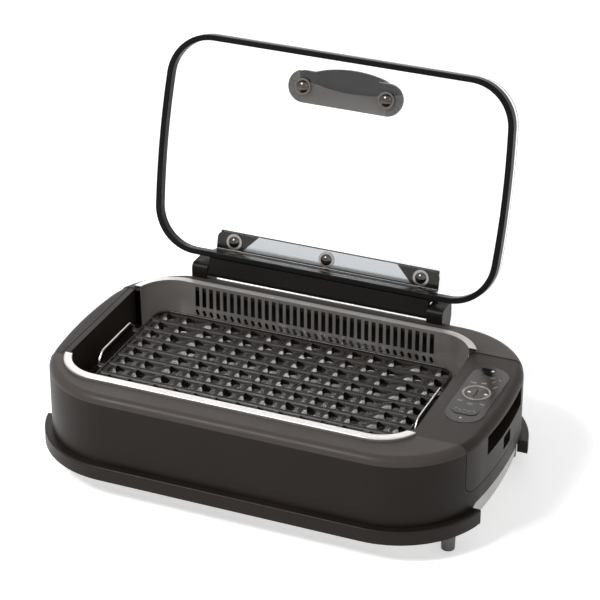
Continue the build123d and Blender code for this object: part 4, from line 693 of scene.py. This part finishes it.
@dataclass
class GrillPlate(SubAssembly):
    """The non-stick plate: ribs, hooded drains, rim, legs, lugs and its two wire loops.

    A pair of sizes is along x and y unless its use says otherwise: rib_half is a rib's half top and half
    foot, leg its radius and inset, fillet its height and reach, loop_half the half lengths at the plate
    and at the grip. The lines are where the sheet's grid is cut: about each crest, about each row, and
    near the ends.
    """

    middle_x: float = -20.0
    size: tuple[float, float] = (367.0, 203.0)
    corner: float = 18.0
    bottom: float = 90.0
    thickness: float = 3.0
    fillet: tuple[float, float] = (1.6, 2.5)
    sharp_edge: float = 48.0
    rim: float = 3.0
    rim_height: float = 7.0
    rim_overlap: float = 0.4
    rows: int = 9
    rib_pitch: float = 22.0
    rib_height: float = 3.4
    rib_half: tuple[float, float] = (0.3, 5.0)
    rib_straight: float = 0.4
    columns: int = 10
    end_columns: int = 2
    hood_pitch: float = 25.0
    end_step: float = 31.0
    hood_height: float = 5.7
    hood_left: float = 11.0
    hood_climb: float = 0.75
    hood_half: float = 7.6
    hood_slope: float = 5.4
    hood_power: float = 2.6
    hood_straight: float = 0.5
    hood_extra: float = 8.0
    crest: float = 1.9
    drain: tuple[float, float] = (4.5, 6.0)
    drain_power: int = 3
    crest_lines: tuple[float, ...] = (
        -12.6, -11.0, -9.2, -7.4, -5.6, -3.8, -2.0, -0.8, 0.0, 1.5, 4.5, 7.5, 9.0
    )
    row_lines: tuple[float, ...] = (
        -11.0, -9.9, -9.0, -8.2, -6.8, -5.5, -3.5, -1.2, 1.2, 3.5, 5.5, 6.8, 8.2, 9.0, 9.9
    )
    end_lines: tuple[float, ...] = (-182.0, -180.5, -179.0, -154.0, -149.5, 138.0, 180.5, 182.0)
    side_line: float = 100.0
    leg: tuple[float, float] = (4.5, 11.5)
    leg_foot: float = 57.9
    leg_edge: float = 0.8
    leg_root: float = 1.0
    lug: tuple[float, float] = (7.0, 8.0)
    lug_root: float = 2.0
    lug_drop: float = 0.6
    lug_corner: float = 2.5
    lug_edge: float = 0.5
    loop_offset: float = 5.0
    loop_wire: float = 1.35
    loop_bend: float = 8.0
    loop_half: tuple[float, float] = (44.0, 35.0)
    loop_heights: tuple[float, float] = (100.0, 109.0)

    def build(self) -> None:
        """Build the plate's pieces in place of its solids."""
        self._surface()
        self._rim()
        self._legs()
        self._lugs()
        for node, side in (("plate_handle_left", -1), ("plate_handle_right", 1)):
            self._loop(node, side)

    def _columns(self) -> np.ndarray:
        """Work out where the columns of hoods stand.

        Returns:
            Places along x from the plate's middle.
        """
        inner = (np.arange(self.columns) - (self.columns - 1) / 2) * self.hood_pitch
        outer = inner[-1] + self.end_step + np.arange(self.end_columns) * self.hood_pitch
        return np.concatenate([-outer[::-1], inner, outer])

    def _row_places(self) -> np.ndarray:
        """Work out where the rows of hoods stand along y."""
        return (np.arange(self.rows) - (self.rows - 1) / 2) * self.rib_pitch

    def _height(self, x: np.ndarray, y: np.ndarray) -> np.ndarray:
        """Work out how high the plate's face stands above its floor.

        A rib is a ridge whose height falls from full to nothing between its half top and its half foot.
        A hood is a blunt wedge: with a and b its shares of full height along x and y and p its power, the
        height is 1 - ((1-a)^p + (1-b)^p)^(1/p) of the whole, half of it eased. The higher of the two
        counts, and a low fillet climbs to the rim. The columns after the wider gaps have longer hoods.

        Args:
            x: places from the plate's middle.
            y: places from the plate's middle.

        Returns:
            Heights of the same shape.
        """
        ribs = (np.arange(self.rows - 1) - (self.rows - 2) / 2) * self.rib_pitch
        off_rib = np.abs(y[..., None] - ribs).min(-1)
        share = np.clip((self.rib_half[1] - off_rib) / (self.rib_half[1] - self.rib_half[0]), 0, 1)
        ridge = self.rib_height * eased(share, self.rib_straight)
        crest = self._columns() + self.crest
        nearest = np.abs(x[..., None] - (crest + self.drain[0] - self.hood_left / 2)).argmin(-1)
        at_gap = np.isin(nearest, (self.end_columns, self.end_columns + self.columns))
        left = self.hood_left + np.where(at_gap, self.hood_extra, 0.0)
        off_crest = crest[nearest] - x
        along = np.clip((left - off_crest) / (self.hood_climb * left), 0, 1)
        along = along * (off_crest > -self.drain[0])
        across = (self.hood_half - np.abs(y[..., None] - self._row_places()).min(-1)) / self.hood_slope
        lack = sum(np.clip(1 - part, 0, 1) ** self.hood_power for part in (along, across))
        share = np.clip(1 - lack ** (1 / self.hood_power), 0, 1)
        hood = self.hood_height * eased(share, self.hood_straight)
        half_x, half_y = (whole / 2 - self.rim for whole in self.size)
        inside = np.minimum(half_x - np.abs(x), half_y - np.abs(y))
        fillet = self.fillet[0] * np.clip(1 - inside / self.fillet[1], 0, 1) ** 2
        return np.maximum(np.maximum(ridge, hood), fillet)

    def _surface(self) -> None:
        """Build the plate's sheet as a height over a grid, with the drains left out.

        The grid's lines crowd at the crests and ribs. Cells inside a drain's oval are left out and their
        corner points slide along the radius on to it; walls join face and underside wherever a cell ends.
        """
        columns, rows = self._columns(), self._row_places()
        x_lines = (columns[:, None] + self.crest + np.array(self.crest_lines)).ravel()
        x_lines = np.unique(np.round(np.append(x_lines, self.end_lines), 3))
        y_lines = (rows[:, None] + np.array(self.row_lines)).ravel()
        far_row = rows[-1] + self.rib_pitch / 2
        y_lines = np.concatenate([[-self.side_line], y_lines, [far_row, self.side_line]])
        x, y = np.meshgrid(x_lines[np.abs(x_lines) <= max(self.end_lines)], y_lines, indexing="ij")
        cell_x = (x[:-1, :-1] + x[1:, 1:]) / 2
        cell_y = (y[:-1, :-1] + y[1:, 1:]) / 2
        kept = (self._oval(cell_x, cell_y) > 1) & (self._beyond_corner(cell_x, cell_y) < -self.rim / 2)
        x, y = self._slide(x, y, kept)
        face = self.bottom + self.thickness + self._height(x, y)
        under = np.full_like(face, self.bottom)
        sheets = [np.stack([x + self.middle_x, y + self.body_y, z], axis=-1) for z in (face, under)]
        piece = mesh_object(
            "plate_sheet",
            np.stack(sheets).reshape(-1, 3) * MM,
            self._cell_faces(kept, x.shape),
            self.finishes["plate_nonstick"],
            self.sharp_edge,
        )
        self._stand_in(piece, "grill_plate", "plate_nonstick")

    def _oval(self, x: np.ndarray, y: np.ndarray) -> np.ndarray:
        """Measure how far points lie out of the nearest drain.

        With p the drains' power, the measure is (|x/a|^p + |y/b|^p)^(1/p), which is 1 on the oval.

        Args:
            x: places from the plate's middle.
            y: places from the plate's middle.

        Returns:
            The measure, of the same shape.
        """
        columns = self._columns() + self.crest + self.drain[0]
        off_x = np.abs(x[..., None] - columns).min(-1) / self.drain[0]
        off_y = np.abs(y[..., None] - self._row_places()).min(-1) / self.drain[1]
        return (off_x**self.drain_power + off_y**self.drain_power) ** (1 / self.drain_power)

    def _beyond_corner(self, x: np.ndarray, y: np.ndarray) -> np.ndarray:
        """Measure how far points lie outside the plate's rounded outline.

        Args:
            x: places from the plate's middle.
            y: places from the plate's middle.

        Returns:
            Distances of the same shape, less than 0 inside the outline.
        """
        radius = self.corner
        dx = np.abs(x) - self.size[0] / 2 + radius
        dy = np.abs(y) - self.size[1] / 2 + radius
        outside = np.hypot(np.clip(dx, 0, None), np.clip(dy, 0, None))
        return outside + np.minimum(np.maximum(dx, dy), 0) - radius

    def _slide(self, x: np.ndarray, y: np.ndarray, kept: np.ndarray) -> tuple[np.ndarray, np.ndarray]:
        """Move the points between kept and left-out cells on to the drains' ovals.

        Args:
            x: the grid's places along x.
            y: the grid's places along y.
            kept: which cells stay.

        Returns:
            The moved places.
        """
        padded = np.pad(kept, 1, constant_values=True)
        around = np.stack([padded[:-1, :-1], padded[1:, :-1], padded[:-1, 1:], padded[1:, 1:]])
        edge = around.any(0) & ~around.all(0) & (self._beyond_corner(x, y) < -self.rim)
        columns, rows = self._columns() + self.crest + self.drain[0], self._row_places()
        middle_x = columns[np.abs(x[..., None] - columns).argmin(-1)]
        middle_y = rows[np.abs(y[..., None] - rows).argmin(-1)]
        scale = np.where(edge, 1 / np.maximum(self._oval(x, y), 0.1), 1.0)
        return middle_x + (x - middle_x) * scale, middle_y + (y - middle_y) * scale

    def _cell_faces(self, kept: np.ndarray, shape: tuple[int, int]) -> np.ndarray:
        """Join the kept cells' face and underside, and wall every side where the next cell is missing.

        Args:
            kept: which cells stay.
            shape: the grid's rows and columns of points.

        Returns:
            Quads over the face's points followed by the underside's, facing outwards.
        """
        count, columns = shape[0] * shape[1], shape[1]
        i, j = np.nonzero(kept)
        a = i * columns + j
        quads = [np.stack([a, a + columns, a + columns + 1, a + 1], axis=-1)]
        quads.append(quads[0][:, ::-1] + count)
        padded = np.pad(kept, 1)
        sides = (
            ((1, 0), (1, 0), (1, 1)),
            ((-1, 0), (0, 1), (0, 0)),
            ((0, 1), (1, 1), (0, 1)),
            ((0, -1), (0, 0), (1, 0)),
        )
        for (step_i, step_j), first, last in sides:
            beyond = np.roll(padded, (-step_i, -step_j), (0, 1))[1:-1, 1:-1]
            i, j = np.nonzero(kept & ~beyond)
            p = (i + first[0]) * columns + j + first[1]
            q = (i + last[0]) * columns + j + last[1]
            quads.append(np.stack([p, p + count, q + count, q], axis=-1))
        return np.concatenate(quads)

    def _rim(self) -> None:
        """Build the raised edge: a strip with a rounded top carried round the plate."""
        half, top = self.rim / 2, self.bottom + self.rim_height
        phi = np.linspace(0, np.pi, 9)
        crown = np.stack([-half + half * np.cos(phi), top - half + half * np.sin(phi)], axis=-1)
        sheet_top = self.bottom + self.thickness - self.rim_overlap
        foot = np.array([[-self.rim, sheet_top], [-self.rim, self.bottom], [0.0, self.bottom]])
        points = rounded_ring(self.size, self.corner, np.concatenate([crown, foot]))
        points = points + np.array([self.middle_x, self.body_y, 0.0])
        piece = grid_object("plate_rim", points * MM, self.finishes["plate_nonstick"], (True, True))
        self._stand_in(piece, "grill_plate", "plate_nonstick")

    def _four_places(self, x: float, y: float) -> np.ndarray:
        """Mirror a place about the plate's middle to both ends and both long sides."""
        signs = np.array([(end, side, 0) for end in (-1, 1) for side in (-1, 1)])
        return signs * (x, y, 0.0) + (self.middle_x, self.body_y, 0.0)

    def _legs(self) -> None:
        """Turn the four legs under the plate."""
        radius, inset = self.leg
        top = self.bottom + self.leg_root
        low, edge = self.leg_foot, self.leg_edge
        profile = [[0, low], [radius - edge, low], [radius, low + edge], [radius, top], [0, top]]
        places = self._four_places(self.size[0] / 2 - inset, (self.rows - 2) / 2 * self.rib_pitch)
        points = turned(np.array(profile), places)[:, :, ::-1]
        piece = grid_object("plate_legs", points * MM, self.finishes["plate_nonstick"], (False, True))
        self._stand_in(piece, "grill_plate", "plate_nonstick")

    def _lugs(self) -> None:
        """Build the four lugs that hold the wire loops, each a rounded block closed at its middle."""
        length, width = self.lug
        low, high = self.bottom, self.bottom + self.rim_height - self.lug_drop
        edge = self.lug_edge
        profile = np.array([[0.0, high], [-edge, high], [0.0, high - edge], [0.0, low], [0.0, low]])
        block = rounded_ring((length + self.lug_root, width), self.lug_corner, profile, 5)
        x = (self.size[0] + length - self.lug_root) / 2
        places = self._four_places(x, self.loop_half[0])[:, None, None, :]
        points = block + places
        points[:, :, [0, -1], :2] = places[..., :2]
        piece = grid_object("plate_lugs", points * MM, self.finishes["plate_nonstick"], (True, False))
        self._stand_in(piece, "grill_plate", "plate_nonstick")

    def _loop(self, node: str, side: int) -> None:
        """Bend one wire loop.

        Args:
            node: the solid it replaces.
            side: -1 for the left loop and 1 for the right one.
        """
        x = self.middle_x + side * (self.size[0] / 2 + self.loop_offset)
        outer, inner = self.loop_half
        low, high = self.loop_heights
        half_run = [(outer, self.bottom), (outer, low), (inner, high)]
        run = [(-y, z) for y, z in half_run] + half_run[::-1]
        path = rounded_run(np.array([(x, y + self.body_y, z) for y, z in run]), self.loop_bend)
        points = tube(path, np.array([1.0, 0.0, 0.0]), (self.loop_wire, self.loop_wire))[None]
        name = f"loop_{node.rsplit('_', 1)[1]}"
        piece = grid_object(name, points * MM, self.finishes["wire_steel"], (False, True))
        self._stand_in(piece, node, "wire_steel")

    def _stand_in(self, piece: bpy.types.Object, node: str, slot: str) -> None:
        """Let a piece ride on the plate in a solid's place.

        Args:
            piece: the finer surface.
            node: the solid it replaces.
            slot: that solid's finish; not used.
        """
        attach(piece, "grill_plate")
        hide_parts(node)


@dataclass
class Chamber(SubAssembly):
    """The steel tub with the tray and heater in it, and the smoke path behind it."""

    def build(self) -> None:
        """Dress the chamber's nodes."""
        # The liner's finish carries a painted highlight along its rim.
        self.dress("liner_steel", "chamber_liner")
        self.dress("tray_aluminium", "drip_tray")
        heater = ("heating_element", "thermostat_probe", "heater_support_left", "heater_support_right")
        self.dress("heater_steel", *heater)
        self.dress("block_black", "heater_block")
        self.dress("plate_nonstick", "grill_plate")
        self.dress("wire_steel", "plate_handle_left", "plate_handle_right")
        self.dress("duct_dark", "rear_duct")


@dataclass(frozen=True)
class Print:
    """Short thick strokes on one face, each with its middle x and y, length, width and degrees."""

    name: str
    height: float
    finish: str
    body: str
    strokes: tuple[tuple[float, ...], ...]


@dataclass
class ControlPanel(SubAssembly):
    """The panel film with its buttons, ring, display and lamp, and the marks printed on them."""

    print_height: float = 0.12
    print_end: float = 0.0004
    print_sides: tuple[float, ...] = (-1.0, -0.75, 0.0, 0.75, 1.0, 0.0)
    print_crown: tuple[float, ...] = (0.0, 0.9, 1.0, 0.9, 0.0, -0.3)
    prints: tuple[Print, ...] = (
        Print("film_marks", 123.6, "print_pale", "base", (
            (205, -6, 7, 2.6, 8), (230, -6, 7, 2.6, -8), (217.5, -9, 7.5, 2.6, 0), (206, 35, 8, 2.8, 0),
            (217, 37.5, 7, 2.8, 10), (231, 33, 8, 1.6, 60), (222, 52, 7, 1.6, 35), (231, 50, 6, 1.4, -35),
            (226, 44, 6, 1.4, 70))),
        Print("display_dot", 123.6, "print_white", "base", ((217.5, 66.0, 3.4, 3.2, 0),)),
        Print("power_marks", 124.4, "print_pale", "power", (
            (206.5, -24.5, 6, 1.2, 50), (211.5, -25.5, 6, 1.2, -50), (217, -24.5, 5, 1.2, 0),
            (222, -25.5, 6, 1.2, 50), (227.5, -24.5, 6, 1.2, -50))),
        Print("down_mark", 124.4, "print_white", "temp_down", ((208.5, 13.5, 3.8, 3.2, 0),)),
        Print("up_mark", 124.4, "print_white", "temp_up", ((227.0, 14.5, 3.8, 3.2, 0),)),
    )

    def build(self) -> None:
        """Dress the panel's nodes and print its marks."""
        self.dress("panel_grey", "control_panel")
        self.dress("button_black", "temp_down_button", "temp_up_button", "power_button")
        self.dress("ring_chrome", "temperature_ring")
        self.dress("display_dark", "display_window")
        self.dress("lamp_red", "panel_lamp")
        for marks in self.prints:
            self._print(marks)

    def _print(self, marks: Print) -> None:
        """Print the strokes of one face.

        Each stroke is a low pad: its half width w(s) follows the square root of 1 - s^4 along its length,
        and its crown stands the print's height above the face.

        Args:
            marks: the strokes and the face they lie on.
        """
        rows = np.array(marks.strokes, dtype=float)[:, :, None, None]
        s = np.linspace(-1, 1, 9)
        side, crown = np.array(self.print_sides), np.array(self.print_crown)
        half = np.sqrt(np.clip(1 - s**4, self.print_end, 1))
        along = rows[:, 2] / 2 * s[None, :, None] * np.ones_like(side)
        across = rows[:, 3] / 2 * half[None, :, None] * side
        turn = np.radians(rows[:, 4])
        x = rows[:, 0] + along * np.cos(turn) - across * np.sin(turn)
        y = rows[:, 1] + along * np.sin(turn) + across * np.cos(turn) + self.body_y
        z = marks.height + self.print_height * crown * np.ones_like(x)
        points = np.stack([x, y, z], axis=-1) * MM
        piece = grid_object(marks.name, points, self.finishes[marks.finish], (False, True))
        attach(piece, marks.body)


@dataclass
class Lid(SubAssembly):
    """The glass lid with its rim, hinge and handle."""

    def build(self) -> None:
        """Dress the lid's nodes."""
        self.dress("lid_glass", "lid_glass")
        self.dress("rim_black", "lid_rim")
        self.dress("hinge_black", "hinge_bar", "hinge_tower_left", "hinge_tower_right")
        # The hinge strip's finish is a painted reflection.
        self.dress("strip_steel", "hinge_strip")
        self.dress("bright_steel", "hinge_pin_left", "hinge_pin_right")
        self.dress("washer_steel", "bracket_washers")
        # The handle washers' finish is a painted dark reflection.
        self.dress("washer_dark", "handle_washers")
        # The screw domes' finish is a painted dark reflection.
        self.dress("dome_steel", "bracket_screws", "handle_screws")
        self.dress("screw_steel", "tower_screws")
        self.dress("gasket_grey", "handle_gasket")
        self.dress("bush_rubber", "bracket_bushes", "handle_bushes")
        self.dress("handle_gloss", "lid_handle")


@dataclass(frozen=True)
class Lamp:
    """A square soft lamp that looks at a point; places and side in metres, power in watts."""

    name: str
    place: tuple[float, float, float]
    side: float
    power: float
    target: tuple[float, float, float] = (0.0, 0.0, 0.1)

    def hang(self) -> None:
        """Hang the lamp at its place and turn it to its target."""
        data = bpy.data.lights.new(self.name, "AREA")
        data.size = self.side
        data.energy = self.power
        lamp = bpy.data.objects.new(self.name, data)
        lamp.location = self.place
        x, y, z = np.array(self.target) - np.array(self.place)
        lamp.rotation_euler = (math.atan2(math.hypot(x, y), -z), 0.0, math.atan2(y, x) - math.pi / 2)
        bpy.context.scene.collection.objects.link(lamp)


@dataclass
class Studio:
    """The floor, the soft lamps and the camera."""

    body_y: float
    camera_place: tuple[float, float, float] = (939.63, -2184.17, 1471.47)
    yaw: float = 22.903
    pitch: float = 28.149
    lens: float = 149.18
    sensor: float = 36.0
    sight: float = 60.0
    floor_half: float = 12.0
    floor_tones: tuple[Colour, Colour] = ((0.93, 0.93, 0.93), (0.95, 0.95, 0.95))
    floor_lift: float = 0.45
    sky: float = 0.45
    lamps: tuple[Lamp, ...] = (
        Lamp("key_lamp", (-0.9, -1.4, 2.0), 0.6, 42.0),
        Lamp("fill_lamp", (2.2, -1.8, 1.8), 1.6, 6.0),
        Lamp("back_lamp", (-1.2, 2.6, 1.6), 2.2, 13.0),
    )

    def build(self) -> None:
        """Set up the floor, the world, the lamps and the camera."""
        bpy.context.scene.view_settings.view_transform = "Standard"
        self._floor()
        self._world()
        for lamp in self.lamps:
            lamp.hang()
        self._camera()

    def _floor(self) -> None:
        """Lay a pale floor that keeps the object's shadow and shows white to the camera."""
        tree = NodeTree.of_material("floor_white")
        speckle = tree.noise(tree.scaled(Lay.EVEN), 3.0, detail=2.0)
        diffuse = tree.add("ShaderNodeBsdfDiffuse", Color=tree.blend(speckle, *self.floor_tones))
        lift = tree.add("ShaderNodeEmission", Color=WHITE, Strength=self.floor_lift)
        none = tree.add("ShaderNodeEmission", Strength=0.0)
        glow = tree.mix(tree.seen(), none.outputs[0], lift.outputs[0])
        both = tree.add("ShaderNodeAddShader")
        for target, shader in zip(both.inputs, (diffuse.outputs[0], glow)):
            tree.feed(target, shader)
        corners = self.floor_half * np.array([[[[-1, -1, 0], [1, -1, 0]], [[-1, 1, 0], [1, 1, 0]]]])
        grid_object("floor", corners, tree.show(both.outputs[0]))

    def _world(self) -> None:
        """Light the scene evenly, and show white behind it."""
        world = bpy.data.worlds.new("studio")
        bpy.context.scene.world = world
        tree = NodeTree(world, "ShaderNodeOutputWorld")
        soft = tree.add("ShaderNodeBackground", Color=WHITE, Strength=self.sky)
        white = tree.add("ShaderNodeBackground", Color=WHITE, Strength=1.0)
        tree.show(tree.mix(tree.seen(), soft.outputs[0], white.outputs[0]))

    def _camera(self) -> None:
        """Place the camera where the photograph was taken from."""
        data = bpy.data.cameras.new("camera")
        data.lens = self.lens
        data.sensor_width = self.sensor
        data.clip_end = self.sight
        camera = bpy.data.objects.new("camera", data)
        x, y, z = self.camera_place
        camera.location = (x * MM, (y + self.body_y) * MM, z * MM)
        camera.rotation_euler = (math.radians(90.0 - self.pitch), 0.0, math.radians(self.yaw))
        bpy.context.scene.collection.objects.link(camera)
        bpy.context.scene.camera = camera


def main() -> None:
    """Load the frame, build each sub-assembly and the studio."""
    logging.basicConfig(level=logging.INFO, format="%(name)s: %(message)s")
    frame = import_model()
    finishes, nodes, body_y = Finishes().build(), frame["nodes"], body_middle()
    for part in (Body, Chamber, GrillPlate, ControlPanel, Lid):
        part(finishes, nodes, body_y).build()
    Studio(body_y).build()


if __name__ == "__main__":
    main()
